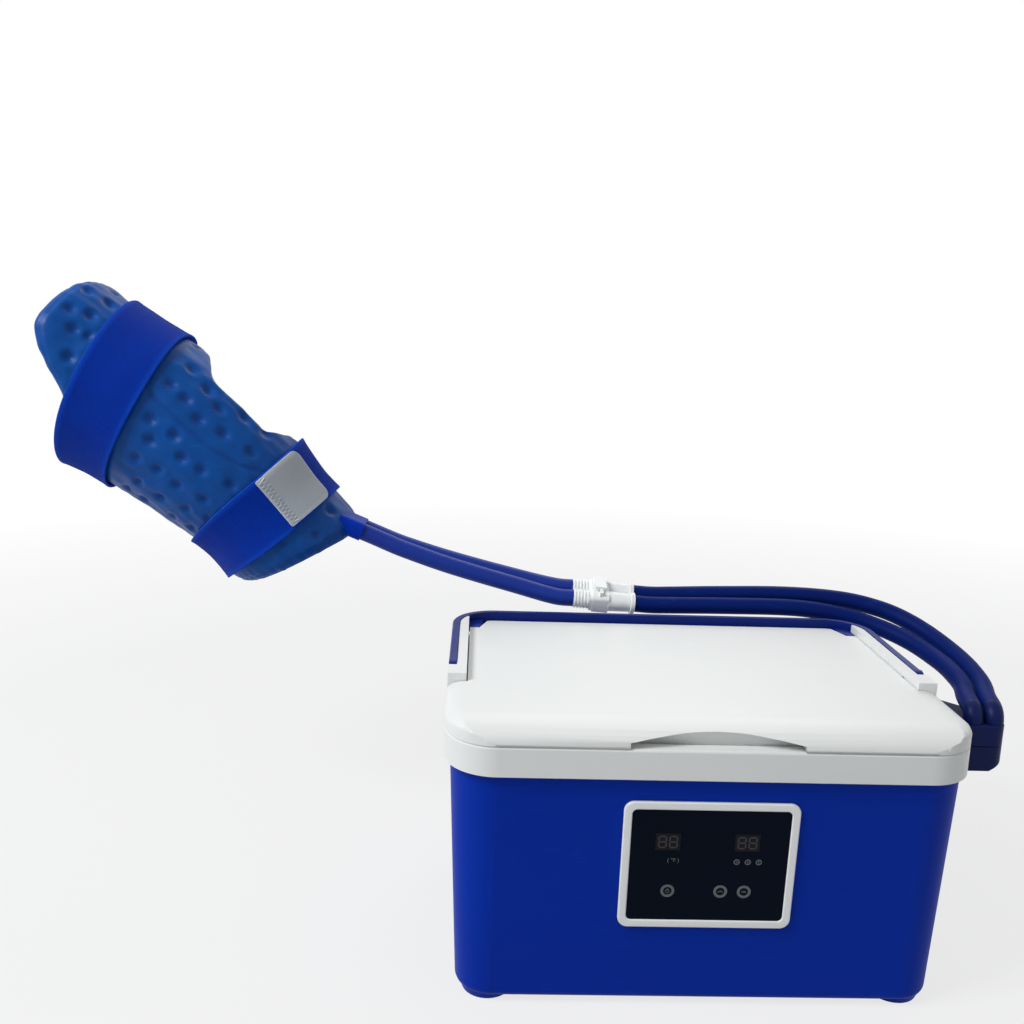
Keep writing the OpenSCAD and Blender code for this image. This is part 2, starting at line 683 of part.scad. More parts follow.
module button_switches() color("#2b2b2b") on_panel() at_buttons() {
  plate(6, 6, 0.5, switch_top + 0.6, board_y);
  rod_y(3.5, switch_top, switch_top + 1);
}
module button(x) on_panel() translate([x, 0, button_z]) {
  rod_y(button_d, face_back - face_t - flat_gap, face_back + 1);
  rod_y(button_d + 2, face_back + flat_gap, face_back + 1.2);
  rod_y(4, face_back + 1, switch_top - button_travel - 0.1);
}
module power_button() color("#141c28") button(power_x);
module up_button() color("#141c28") button(up_x);
module down_button() color("#141c28") button(down_x);

// ---- Pump, heater, probe and wiring ----
module at_pump(z) translate([pump_x, pump_y, z]) children();
module pump_strainer() color("#3b4046") at_pump(sump_z) difference() {
  cylinder(h = strainer_h, d = pump_d + 6);
  translate([0, 0, -cut]) cylinder(h = strainer_h - 2 + cut, d = pump_d + 2);
  cylinder(h = strainer_h + cut, d = pump_in_d);
  for (a = [0:30:150]) rotate([0, 0, a]) translate([-pump_d, -2.5, 1]) cube([2 * pump_d, 5, strainer_h - 4]);
}
module pump_housing() color("#2b3036") difference() {
  union() {
    at_pump(volute_z) cylinder(h = volute_h, d = pump_d);
    translate([0, pump_y, nozzle_z]) rod_x(tube_bore, pump_x, pump_out);
  }
  at_pump(volute_z - cut) cylinder(h = volute_h / 2, d = pump_in_d);
  at_pump(volute_z + 3.5) cylinder(h = volute_h - 7, d = impeller_d + 4);
  at_pump(volute_z) cylinder(h = volute_h + cut, d = shaft_d + 2 * run_gap);
  translate([0, pump_y, nozzle_z]) rod_x(tube_bore - 2.5, pump_x, pump_out + cut);
}
module pump_motor() color("#20252b") difference() {
  at_pump(motor_z) cylinder(h = motor_h, d = motor_d);
  at_pump(motor_z - cut) cylinder(h = shaft_up + 2 + cut, d = shaft_d + 2 * run_gap);
}
module pump_impeller() color("#c9ced2") at_pump(volute_z) {
  translate([0, 0, 5]) cylinder(h = 6, d = 9);
  translate([0, 0, 9.8]) cylinder(h = 1.2, d = impeller_d);
  for (a = [0:60:300]) rotate([0, 0, a]) translate([3, -0.8, 5]) cube([impeller_d / 2 - 3.4, 1.6, 5.5]);
  translate([0, 0, 6]) cylinder(h = volute_h - 6 + shaft_up, d = shaft_d);
}
module supply_tube() color("#d7d9d2") pipe([
  [pump_x + pump_d / 2, pump_y, nozzle_z], [tube_x, pump_y, nozzle_z],
  [tube_x, pump_y, supply_z], [tube_x, duct_y, supply_z], [duct_x0, duct_y, supply_z]],
  inner_tube_d, tube_bore, tube_swell);
module return_tube() color("#d7d9d2") pipe([[duct_x0, duct_y, return_z], [duct_x0 - 9, duct_y, return_z],
  [duct_x0 - 9, duct_y - 26, return_z], [duct_x0 - 9, duct_y - 26, return_z - 45]],
  inner_tube_d, tube_bore, tube_swell);
module heater_plate() color("#c2c6c9") {
  translate([heater_at[0], heater_at[1], 0])
    block(heater_size[0], heater_size[1], 8, sump_z, sump_z + heater_size[2]);
  translate([terminal_x - 6, terminal_y, sump_z]) cube([12, 10, 10]);
}
module temperature_probe() color("#b08d4c") on_liner(probe_x, probe_z) {
  rod_y(probe_d, 0, 26);
  rod_y(probe_d + 5, liner_t, liner_t + 2);
}
module board_plug(x) on_panel() translate([x - 4, board_y + board_t, header_z - 3]) cube([8, 4.4, 6]);
function plug_end(x) = [x, lead_y, panel_z + header_z - 2];
module probe_lead() color("#23272b") {
  board_plug(probe_x);
  run([plug_end(probe_x), [probe_x, lead_y, probe_z],
    [probe_x, liner_front + drafted(0, probe_z) - 0.1, probe_z]], lead_d, lead_swell);
}
module pump_lead() color("#23272b") {
  board_plug(wire_x);
  run([plug_end(wire_x), [wire_x, lead_y, wire_z], [wire_x, 15, wire_z], [pump_x, 15, wire_z],
    [pump_x, pump_y - motor_d / 2, wire_z]], lead_d, lead_swell);
}
module heater_lead() color("#23272b") {
  board_plug(heat_x);
  run([plug_end(heat_x), [heat_x, lead_y, wire_z], [heat_x, wire_y, wire_z],
    [heat_x, wire_y, sump_z + 5], [terminal_x, wire_y, sump_z + 5], [terminal_x, terminal_y, sump_z + 5]],
    lead_d, lead_swell);
}
module power_jack() color("#1c1f23") on_rear() difference() {
  union() {
    rod_y(jack_d, -jack_l, 0);
    rod_y(jack_d + 4, 0, 1.6);
  }
  difference() {
    rod_y(5.5, -jack_l + 2, 2);
    rod_y(2.1, -jack_l, 1);
  }
}
module jack_nut() color("#b9bec2") on_rear() difference() {
  rotate([90, 0, 0]) translate([0, 0, shell_t]) linear_extrude(3)
    polygon([for (a = [0:60:300]) jack_nut_d / 2 * [cos(a), sin(a)]]);
  rod_y(jack_d, -10, 10);
}
module power_lead() color("#23272b") {
  board_plug(header_x[3]);
  run(power_run, lead_d, lead_swell);
}

// ---- Hose outlet ----
function inset_plan(p, t) = let (n = len(p)) [for (i = [0:n - 1])
  let (a = unit(p[i] - p[(i + n - 1) % n]), b = unit(p[(i + 1) % n] - p[i]))
  p[i] + t * ([-a[1], a[0]] + [-b[1], b[0]]) / (1 + a * b)];
out_plan = concat([[out_x0, out_front], [outlet_reach - out_round, out_front]],
  [for (a = [15:15:75]) [outlet_reach - out_round * (1 - sin(a)), out_front + out_round * (1 - cos(a))]],
  [[outlet_reach, out_front + out_round], [outlet_reach, 8], [outlet_reach - 11, 22],
  [outlet_reach - 33, 46], [outlet_reach - 78, out_back], [out_x0, out_back]]);
// The outlet's solid shape, made smaller by t
module outlet_solid(t) intersection() {
  translate([0, 0, out_bottom + t]) linear_extrude(out_top - out_bottom - 2 * t)
    polygon(inset_plan(out_plan, t));
  rotate([90, 0, 0]) linear_extrude(2 * collar_d, center = true) polygon([[out_x0 - 5, out_bottom],
    [outlet_reach - 12 - t, out_bottom], [outlet_reach - t, out_bottom + 7],
    [outlet_reach - t, out_top - 1.5], [outlet_reach - t - 1.5, out_top], [out_x0 - 5, out_top]]);
}
module outlet_part(z0, z1) difference() {
  intersection() {
    union() {
      difference() {
        outlet_solid(0);
        outlet_solid(out_t);
        translate([out_x0 - 5, out_front + out_t, out_bottom + out_t])
          cube([20, out_back - out_front - 2 * out_t, out_top - out_bottom - 2 * out_t]);
      }
      at_outlet_screws() translate([0, 0, out_bottom]) cylinder(h = out_top - out_bottom, d = 7);
    }
    translate([0, -collar_d, z0]) cube([collar_w, 2 * collar_d, z1 - z0]);
  }
  tub(collar_w + 2 * flat_gap, collar_d + 2 * flat_gap, corner_r + flat_gap,
    tub_wall(body_inset, foot_h, collar_top, bottom_r));
  for (x = [supply_x, return_x]) translate([x, duct_y, out_top - 5])
    cylinder(h = 10, d = duct_d + 2 * flat_gap);
  at_outlet_screws() translate([0, 0, out_bottom - cut]) cylinder(h = 36, d = screw_d);
  at_outlet_screws() translate([0, 0, out_bottom - cut]) cylinder(h = 3 + cut, d = screw_d + 2.4);
}
module at_outlet_screws() for (p = [[outlet_reach - 59, 50], [outlet_reach - 23, 17]])
  translate([p[0], p[1], 0]) children();
module outlet_upper_shell() color(navy) outlet_part(out_split, out_top);
module outlet_lower_shell() color(navy) outlet_part(out_bottom, out_split);
module outlet_screws() color("#b9bec2") at_outlet_screws() {
  translate([0, 0, out_bottom + 1]) cylinder(h = 2, d = screw_d + 2.4);
  translate([0, 0, out_bottom + 2]) cylinder(h = 32, d = screw_d);
}

// ---- Elbows and hoses ----
module elbow(x, z) {
  wall_x = collar_w / 2 - body_in(z);
  pipe([[duct_x0, duct_y, z], [x, duct_y, z], [x, duct_y, bend_z + 0.4]], duct_d, tube_bore);
  translate([0, duct_y, z]) difference() {
    rod_x(duct_d + 2.4, wall_x + 0.4, wall_x + 2.4);
    rod_x(duct_d - 2, wall_x, wall_x + 3);
  }
  translate([x, duct_y, bend_z]) rotate([0, 0, -elbow_yaw]) translate([0, elbow_r, 0]) rotate([90, 0, -90])
    rotate_extrude(angle = elbow_bend) translate([elbow_r, 0]) difference() {
      circle(d = elbow_d);
      circle(d = tube_bore);
    }
}
module supply_elbow() color(navy) elbow(supply_x, supply_z);
module return_elbow() color(navy) elbow(return_x, return_z);
module duct_nuts() color("#dfe4e6") for (z = [supply_z, return_z]) translate([0, duct_y, z])
  let (x = liner_w / 2 - drafted(liner_t, z) - 0.4) difference() {
    rod_x(duct_d + 4, x - 3, x);
    rod_x(duct_d, x - 5, x + 5);
  }

// A hose along a list of points, with one ring of vertices at each point
function side_of(t) = unit(cross(t, [0, 0, 1]));
function hose_ring(p, i, d) =
  let (n = len(p), t = unit(p[min(i + 1, n - 1)] - p[max(i - 1, 0)]), s = side_of(t), u = cross(s, t))
  [for (k = [0:hose_sides - 1]) p[i] + d / 2 * (cos(360 * k / hose_sides) * s + sin(360 * k / hose_sides) * u)];
module hose(p, d) {
  n = len(p);
  m = hose_sides;
  polyhedron(
    [for (i = [0:n - 1]) each hose_ring(p, i, d)],
    concat(
      [[for (k = [m - 1:-1:0]) k]],
      [[for (k = [0:m - 1]) (n - 1) * m + k]],
      [for (i = [0:n - 2], k = [0:m - 1]) [i * m + k, (i + 1) * m + (k + 1) % m, (i + 1) * m + k]],
      [for (i = [0:n - 2], k = [0:m - 1]) [i * m + k, i * m + (k + 1) % m, (i + 1) * m + (k + 1) % m]]));
}
module supply_hose() color(navy) hose(supply_route, hose_d);
module return_hose() color(navy) hose(return_route, hose_d);
module pad_supply_hose() color(royal) hose(pad_supply_route, hose_d);
module pad_return_hose() color(royal) hose(pad_return_route, hose_d);

// ---- Quick coupling ----
module on_coupling()
  translate(coupling_at) rotate([0, coupling_tilt, 0]) rotate([coupling_roll, 0, 0]) children();
module at_bores() for (s = [-1, 1]) translate([0, s * coupling_pitch / 2, 0]) children();
module coupling_socket() color(white) on_coupling() difference() {
  union() {
    slab(block_w, block_h, 5, block_x, block_x + block_l);
    at_bores() rotate([0, -90, 0]) cylinder(h = bell_l, r1 = 8.2, r2 = 9.6);
  }
  at_bores() rod_x(nozzle_bore, block_x - cut, block_x + nozzle_l + 2);
  at_bores() rod_x(valve_d + 2 * flat_gap, block_x, -4);
  translate([latch_x - run_gap, -latch_w / 2 - flat_gap, -latch_down - latch_travel - 0.2])
    cube([latch_t + 2 * run_gap, latch_w + 2 * flat_gap, block_h]);
}
module coupling_latch() color(white) on_coupling() difference() {
  union() {
    translate([latch_x, -latch_w / 2, -latch_down]) cube([latch_t, latch_w, latch_down + latch_up]);
    translate([latch_x - 4, -9, latch_up - 1]) cube([latch_t + 7, 18, 3]);
  }
  at_bores() translate([latch_x - cut, -nozzle_d / 2 - 0.5, -block_h])
    cube([latch_t + 2 * cut, nozzle_d + 1, block_h + nozzle_d / 2 + latch_travel + 0.5]);
}
module shutoff_valves() color("#c9ced2") on_coupling() at_bores()
  rod_x(valve_d, block_x + nozzle_l + 3, block_x + nozzle_l + 9);
module coupling_plug() color(white) on_coupling() difference() {
  union() {
    slab(block_w - 1, block_h - 3, 4, plug_x - 3, plug_x);
    at_bores() rod_x(hose_d + 0.6, plug_x - sleeve_l, plug_x);
    at_bores() rod_x(nozzle_d, plug_x - 3, block_x + nozzle_l);
  }
  at_bores() rod_x(nozzle_d - 2 * o_ring_t - 2, plug_x - sleeve_l + 4, block_x + nozzle_l + cut);
  at_bores() difference() {
    rod_x(nozzle_d + cut, o_ring_x - o_ring_t / 2, o_ring_x + o_ring_t / 2);
    rod_x(nozzle_d - 2 * o_ring_t, o_ring_x - o_ring_t, o_ring_x + o_ring_t);
  }
}
module plug_o_rings() color("#1b1b1b") on_coupling() at_bores() translate([o_ring_x, 0, 0]) rotate([0, 90, 0])
  rotate_extrude() translate([nozzle_d / 2 - o_ring_t / 2, 0]) circle(d = o_ring_t);

// ---- Pad and straps, wrapped on a bent limb ----
// s runs down the limb from the middle of the upper strap; a is the angle about the limb, 0 facing the
// front and 90 facing up
function limb_dir(s) = limb_angle + limb_bend * min(max(s / limb_l, 0), 1);
function limb_c(s) = let (q = limb_dir(s), e = s - min(max(s, 0), limb_l))
  limb_at + limb_bend_r * [sin(q) - sin(limb_angle), 0, cos(q) - cos(limb_angle)] + e * [cos(q), 0, -sin(q)];
function on_limb(s, a, r) = let (q = limb_dir(s))
  limb_c(s) + r * [sin(a) * sin(q), -cos(a), sin(a) * cos(q)];
function pad_r(s) = lookup(s, pad_outer);

// A closed skin between two grids of points; the first index runs round the limb
module skin(outer, inner, closed) {
  n = len(outer);
  m = len(outer[0]);
  rows = closed ? n : n - 1;
  k = n * m;
  polyhedron(
    concat([for (row = outer) each row], [for (row = inner) each row]),
    concat(
      [for (i = [0:rows - 1], j = [0:m - 2]) let (a = i * m + j, b = (i + 1) % n * m + j)
        each [[a, b, b + 1], [a, b + 1, a + 1], [k + a, k + b + 1, k + b], [k + a, k + a + 1, k + b + 1]]],
      [for (i = [0:rows - 1]) let (a = i * m, b = (i + 1) % n * m) each [[a, k + b, b], [a, k + a, k + b]]],
      [for (i = [0:rows - 1]) let (a = i * m + m - 1, b = (i + 1) % n * m + m - 1)
        each [[a, b, k + b], [a, k + b, k + a]]],
      closed ? [] : [for (j = [0:m - 2]) each [[j, j + 1, k + j + 1], [j, k + j + 1, k + j]]],
      closed ? [] : [for (j = [0:m - 2]) let (a = (n - 1) * m + j)
        each [[a, k + a + 1, a + 1], [a, k + a, k + a + 1]]]));
}
function pad_s(i, j) = let (a = -pad_side + 2 * pad_side * i / pad_rows)
  lookup(a, pad_left) + (lookup(a, pad_right) - lookup(a, pad_left)) * j / pad_cols;
function pad_a(i, j) = let (a = -pad_side + 2 * pad_side * i / pad_rows)
  a < 40 ? a : 40 + (a - 40) * lookup(pad_s(i, j), pad_dip);
function at_edge(i, j) = i == 0 || j == 0 || i == pad_rows || j == pad_cols;
function dimpled(i, j) = i % 2 == 1 && j % 4 == (i % 4 == 1 ? 1 : 3);
module pad_bladder() color("#0a3f7c") skin(
  [for (i = [0:pad_rows]) [for (j = [0:pad_cols]) let (s = pad_s(i, j))
    on_limb(s, pad_a(i, j), pad_r(s) - (at_edge(i, j) ? pad_t / 2 : dimpled(i, j) ? dimple_h : 0))]],
  [for (i = [0:pad_rows]) [for (j = [0:pad_cols]) let (s = pad_s(i, j))
    on_limb(s, pad_a(i, j), pad_r(s) - pad_t)]], false);

function strap_r(s, a) = pad_r(s) + strap_gap
  - (pad_t + strap_gap - 0.5) * lookup(abs(a), [[120, 0], [150, 1]]);
strap_s = [-strap_w / 2, -strap_w / 6, strap_w / 6, strap_w / 2];
module band(s0) skin(
  [for (a = [-180:7.5:172.5]) [for (s = strap_s) on_limb(s0 + s, a, strap_r(s0 + s, a) + strap_t)]],
  [for (a = [-180:7.5:172.5]) [for (s = strap_s) on_limb(s0 + s, a, strap_r(s0 + s, a))]], true);
module tab(s0, a0) skin(
  [for (i = [0:6]) [for (s = tab_s) on_limb(s0 + s, a0 + 7.5 * i,
    strap_r(s0 + s, a0 + 7.5 * i) + strap_t + tab_t + 0.1)]],
  [for (i = [0:6]) [for (s = tab_s) on_limb(s0 + s, a0 + 7.5 * i,
    strap_r(s0 + s, a0 + 7.5 * i) + strap_t + 0.1)]],
  false);
tab_s = [-tab_w / 2, -strap_w / 6, strap_w / 6, tab_w / 2];
module upper_strap() color("#0b3aa0") band(0);
module lower_strap() color("#0b3aa0") band(limb_l);
module upper_hook_tab() color("#9aa0a6") tab(0, -210);
module lower_hook_tab() color("#9aa0a6") tab(limb_l, 22.5);
module pad_port() color("#10205a") translate(port_at) rotate([0, port_tilt, 0])
  slab(36, 17, 6, -port_l, 0);

body_shell();
insulation();
inner_liner();
collar();
lid_shell();
lid_insulation();
lid_liner();
lid_gasket();
lid_hinge_pins();
carry_handle();
handle_pins();
panel_bezel();
panel_fascia();
circuit_board();
panel_screws();
left_display();
right_display();
status_lamps();
button_switches();
power_button();
up_button();
down_button();
pump_strainer();
pump_housing();
pump_motor();
pump_impeller();
supply_tube();
return_tube();
heater_plate();
temperature_probe();
probe_lead();
pump_lead();
heater_lead();
power_jack();
jack_nut();
power_lead();
outlet_upper_shell();
outlet_lower_shell();
outlet_screws();
supply_elbow();
return_elbow();
duct_nuts();
supply_hose();
return_hose();
coupling_socket();
coupling_latch();
shutoff_valves();
coupling_plug();
plug_o_rings();
pad_supply_hose();
pad_return_hose();
pad_port();
pad_bladder();
upper_strap();
lower_strap();
upper_hook_tab();
lower_hook_tab();
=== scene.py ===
import math
import bpy
import bmesh
from mathutils import Matrix, Vector, noise
from mathutils.geometry import interpolate_bezier


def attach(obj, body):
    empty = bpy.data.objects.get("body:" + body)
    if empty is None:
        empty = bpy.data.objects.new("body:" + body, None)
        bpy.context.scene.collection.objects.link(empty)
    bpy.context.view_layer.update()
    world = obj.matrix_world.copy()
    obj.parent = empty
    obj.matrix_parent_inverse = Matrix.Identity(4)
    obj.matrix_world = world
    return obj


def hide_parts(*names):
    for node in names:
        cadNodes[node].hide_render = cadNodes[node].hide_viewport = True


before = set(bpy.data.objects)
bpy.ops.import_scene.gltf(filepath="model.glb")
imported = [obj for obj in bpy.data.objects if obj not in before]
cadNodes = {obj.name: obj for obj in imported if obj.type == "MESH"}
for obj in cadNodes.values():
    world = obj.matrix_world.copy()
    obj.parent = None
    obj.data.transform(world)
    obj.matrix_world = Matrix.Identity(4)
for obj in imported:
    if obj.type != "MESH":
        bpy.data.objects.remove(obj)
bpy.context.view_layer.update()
scene = bpy.context.scene
millimetre = 0.001
print("frame loaded:", len(cadNodes), "CAD nodes")

# Camera, resectioned from the photograph
photoView = {
    "place": (-0.16977, -0.78662, 0.49717),
    "right": (0.99910, -0.02673, 0.03283),
    "up": (-0.02710, 0.19184, 0.98105),
    "back": (-0.03252, -0.98106, 0.19094),
    "lens": 36.12,
}


def makeCamera(view):
    data = bpy.data.cameras.new("photoCamera")
    data.lens, data.sensor_width, data.clip_end = view["lens"], 36, 30
    camera = bpy.data.objects.new("photoCamera", data)
    turn = Matrix((view["right"], view["up"], view["back"])).transposed().to_4x4()
    camera.matrix_world = Matrix.Translation(view["place"]) @ turn
    scene.collection.objects.link(camera)
    scene.camera = camera


makeCamera(photoView)
print("camera placed")


# Colours are written as 0 to 255, the way a photo editor shows them
def tint(red, green, blue):
    def linear(channel):
        share = channel / 255
        return share / 12.92 if share <= 0.04045 else ((share + 0.055) / 1.055) ** 2.4
    return (linear(red), linear(green), linear(blue), 1)


def addNode(tree, kind, settings=None, values=None):
    made = tree.nodes.new("ShaderNode" + kind)
    for name, value in (settings or {}).items():
        setattr(made, name, value)
    for name, value in (values or {}).items():
        made.inputs[name].default_value = value
    return made


def newGroup(name, inputs, outputs):
    group = bpy.data.node_groups.new(name, "ShaderNodeTree")
    for label, value in inputs.items():
        socket = group.interface.new_socket(
            name=label, in_out="INPUT", socket_type="NodeSocketFloat")
        socket.default_value = value
    for label in outputs:
        group.interface.new_socket(name=label, in_out="OUTPUT", socket_type="NodeSocketFloat")
    return group, group.nodes.new("NodeGroupInput"), group.nodes.new("NodeGroupOutput")


# Moulded surface: fine grain, slow cloudiness and a few rubbed streaks
def makeMouldedGroup():
    group, given, result = newGroup(
        "mouldedSurface", {"Grain": 1200.0, "Cloud": 9.0, "Streak": 30.0},
        ["Height", "Mottle", "Rub"])
    place = addNode(group, "TexCoord")
    grain = addNode(group, "TexNoise", None, {"Detail": 3.0, "Roughness": 0.6})
    cloud = addNode(group, "TexNoise", None, {"Detail": 4.0, "Roughness": 0.55})
    stretch = addNode(group, "Mapping", None,
                      {"Scale": (1.0, 1.0, 4.0), "Rotation": (0.35, 0.2, 0.5)})
    streak = addNode(group, "TexNoise", None, {"Detail": 6.0, "Roughness": 0.7})
    keep = addNode(group, "MapRange", None, {"From Min": 0.6, "From Max": 0.78})
    join = group.links.new
    for noiseNode, label in ((grain, "Grain"), (cloud, "Cloud"), (streak, "Streak")):
        join(given.outputs[label], noiseNode.inputs["Scale"])
    join(place.outputs["Object"], grain.inputs["Vector"])
    join(place.outputs["Object"], cloud.inputs["Vector"])
    join(place.outputs["Object"], stretch.inputs["Vector"])
    join(stretch.outputs["Vector"], streak.inputs["Vector"])
    join(streak.outputs["Fac"], keep.inputs["Value"])
    join(grain.outputs["Fac"], result.inputs["Height"])
    join(cloud.outputs["Fac"], result.inputs["Mottle"])
    join(keep.outputs["Result"], result.inputs["Rub"])
    return group


# Cloth: threads along and across the piece's own UV map, with pile over them
def makeClothGroup():
    group, given, result = newGroup(
        "clothSurface", {"Across": 900.0, "Along": 700.0, "Pile": 2200.0},
        ["Height", "Mottle", "Hem"])
    join = group.links.new
    place = addNode(group, "TexCoord")
    split = addNode(group, "SeparateXYZ")
    join(place.outputs["UV"], split.inputs["Vector"])
    waves = []
    for axis, label in (("X", "Along"), ("Y", "Across")):
        scaled = addNode(group, "Math", {"operation": "MULTIPLY"})
        wave = addNode(group, "Math", {"operation": "SINE"})
        join(split.outputs[axis], scaled.inputs[0])
        join(given.outputs[label], scaled.inputs[1])
        join(scaled.outputs["Value"], wave.inputs[0])
        waves.append(wave)
    crossed = addNode(group, "Math", {"operation": "MAXIMUM"})
    pile = addNode(group, "TexNoise", None, {"Detail": 4.0, "Roughness": 0.7})
    cloud = addNode(group, "TexNoise", None, {"Scale": 38.0, "Detail": 5.0})
    mixed = addNode(group, "Math", {"operation": "MULTIPLY_ADD"}, {1: 0.35})
    join(waves[0].outputs["Value"], crossed.inputs[0])
    join(waves[1].outputs["Value"], crossed.inputs[1])
    join(place.outputs["Object"], pile.inputs["Vector"])
    join(place.outputs["Object"], cloud.inputs["Vector"])
    join(given.outputs["Pile"], pile.inputs["Scale"])
    join(crossed.outputs["Value"], mixed.inputs[0])
    join(pile.outputs["Fac"], mixed.inputs[2])
    hem = addNode(group, "Attribute", {"attribute_name": "hem"})
    join(mixed.outputs["Value"], result.inputs["Height"])
    join(cloud.outputs["Fac"], result.inputs["Mottle"])
    join(hem.outputs["Fac"], result.inputs["Hem"])
    return group


mouldedGroup = makeMouldedGroup()
clothGroup = makeClothGroup()
print("shader groups made")


# Every finish: base and deep colour, roughness, bump height in millimetres, and shader constants
finishes = {
    "royalBody": {"base": (1, 50, 172), "deep": (1, 44, 160), "rough": 0.46, "relief": 0.05,
                  "grain": 1500, "rub": (8, 56, 180), "specular": 0.07},
    "whiteMoulding": {"base": (238, 240, 239), "deep": (231, 234, 234), "rough": 0.36,
                      "relief": 0.03, "grain": 1300, "rub": (238, 240, 240), "specular": 0.4},
    "bezelMoulding": {"base": (248, 250, 250), "deep": (243, 246, 246), "rough": 0.33,
                      "relief": 0.03, "grain": 1300, "rub": (250, 251, 251), "specular": 0.5},
    "navyMoulding": {"base": (12, 30, 90), "deep": (9, 23, 74), "rough": 0.42, "relief": 0.05,
                     "grain": 1500, "rub": (20, 40, 106), "specular": 0.12},
    "bailMoulding": {"base": (5, 34, 122), "deep": (4, 28, 106), "rough": 0.4,
                     "relief": 0.04, "grain": 1500, "rub": (24, 60, 166), "specular": 0.16},
    "linerMoulding": {"base": (220, 224, 226), "deep": (208, 213, 216), "rough": 0.45,
                      "relief": 0.03, "grain": 900, "rub": (228, 230, 230)},
    "castFoam": {"base": (226, 215, 170), "deep": (206, 192, 146), "rough": 0.9, "relief": 0.5,
                 "grain": 420, "rub": (232, 222, 180), "specular": 0.15},
    "sealRubber": {"base": (38, 40, 43), "deep": (28, 30, 33), "rough": 0.62, "relief": 0.03,
                   "grain": 1100, "rub": (56, 58, 60), "specular": 0.3},
    "brightSteel": {"base": (196, 198, 200), "deep": (176, 178, 181), "rough": 0.28,
                    "relief": 0.02, "grain": 2400, "rub": (214, 214, 214), "metal": 1.0},
    "glossPanel": {"base": (4, 13, 30), "deep": (3, 10, 25), "rough": 0.3, "relief": 0.01,
                    "grain": 900, "rub": (6, 15, 32), "specular": 0.04},
    "displayLens": {"base": (36, 35, 40), "deep": (30, 30, 35), "rough": 0.3, "relief": 0.01,
                    "grain": 900, "rub": (40, 38, 42), "specular": 0.04},
    "keyCap": {"base": (5, 14, 30), "deep": (4, 11, 26), "rough": 0.44, "relief": 0.03,
               "grain": 1800, "rub": (8, 17, 34), "specular": 0.05},
    "printedGrey": {"base": (112, 118, 122), "deep": (92, 99, 104), "rough": 0.6,
                    "relief": 0.02, "grain": 2600, "rub": (128, 132, 136), "specular": 0.15},
    "unlitSegment": {"base": (70, 68, 72), "deep": (58, 57, 62), "rough": 0.5, "relief": 0.02,
                     "grain": 2600, "rub": (78, 76, 78), "specular": 0.15},
    "boardLacquer": {"base": (26, 92, 52), "deep": (18, 74, 42), "rough": 0.35, "relief": 0.06,
                     "grain": 700, "rub": (58, 120, 80)},
    "lampLens": {"base": (30, 36, 46), "deep": (24, 30, 40), "rough": 0.3, "relief": 0.02,
                 "grain": 1800, "rub": (36, 42, 52), "specular": 0.06},
    "blackMoulding": {"base": (34, 36, 40), "deep": (26, 28, 31), "rough": 0.5, "relief": 0.06,
                      "grain": 1200, "rub": (56, 58, 62), "specular": 0.3},
    "siliconeTube": {"base": (214, 218, 214), "deep": (198, 204, 200), "rough": 0.3,
                     "relief": 0.02, "grain": 800, "rub": (222, 224, 222), "soft": 0.3},
    "plainAluminium": {"base": (188, 191, 194), "deep": (170, 174, 178), "rough": 0.34,
                       "relief": 0.03, "grain": 2400, "rub": (206, 208, 208), "metal": 1.0},
    "plainBrass": {"base": (186, 150, 84), "deep": (160, 126, 66), "rough": 0.3,
                   "relief": 0.03, "grain": 2400, "rub": (206, 176, 112), "metal": 1.0},
    "wireSheath": {"base": (32, 34, 38), "deep": (24, 26, 29), "rough": 0.55, "relief": 0.03,
                   "grain": 1500, "rub": (50, 52, 56), "specular": 0.3},
    "hoseSleeve": {"base": (6, 34, 112), "deep": (4, 26, 92), "rough": 0.5, "relief": 0.12,
                   "grain": 1100, "rub": (16, 44, 130), "specular": 0.06},
    "padHoseSleeve": {"base": (20, 52, 150), "deep": (15, 42, 130), "rough": 0.46,
                      "relief": 0.12, "grain": 1100, "rub": (34, 68, 168), "specular": 0.2},
    "couplingMoulding": {"base": (246, 248, 248), "deep": (238, 242, 243), "rough": 0.3,
                         "relief": 0.03, "grain": 1300, "rub": (246, 247, 247), "soft": 0.1},
}


def mixedColour(tree, factor, low, high):
    mix = addNode(tree, "Mix", {"data_type": "RGBA"})
    tree.links.new(factor, mix.inputs[0])
    for socket, colour in ((mix.inputs[6], low), (mix.inputs[7], high)):
        if isinstance(colour, tuple):
            socket.default_value = tint(*colour)
        else:
            tree.links.new(colour, socket)
    return mix.outputs[2]


def startFinish(name, look):
    material = bpy.data.materials.new(name)
    material.use_nodes = True
    tree = material.node_tree
    shader = tree.nodes["Principled BSDF"]
    for socket, key in (("Specular IOR Level", "specular"), ("Metallic", "metal"),
                        ("Subsurface Weight", "soft"), ("Sheen Weight", "sheen")):
        if key in look:
            shader.inputs[socket].default_value = look[key]
    if "soft" in look:
        shader.inputs["Subsurface Radius"].default_value = (0.004, 0.004, 0.005)
    return material, tree, shader


def addRelief(tree, shader, height, depth):
    bump = addNode(tree, "Bump", None,
                   {"Strength": 1.0, "Distance": depth * millimetre})
    tree.links.new(height, bump.inputs["Height"])
    tree.links.new(bump.outputs["Normal"], shader.inputs["Normal"])


def spreadRoughness(tree, shader, factor, middle, spread):
    steps = addNode(tree, "MapRange", None,
                    {"From Min": 0.3, "From Max": 0.7, "To Min": middle - spread,
                     "To Max": middle + spread})
    tree.links.new(factor, steps.inputs["Value"])
    tree.links.new(steps.outputs["Result"], shader.inputs["Roughness"])


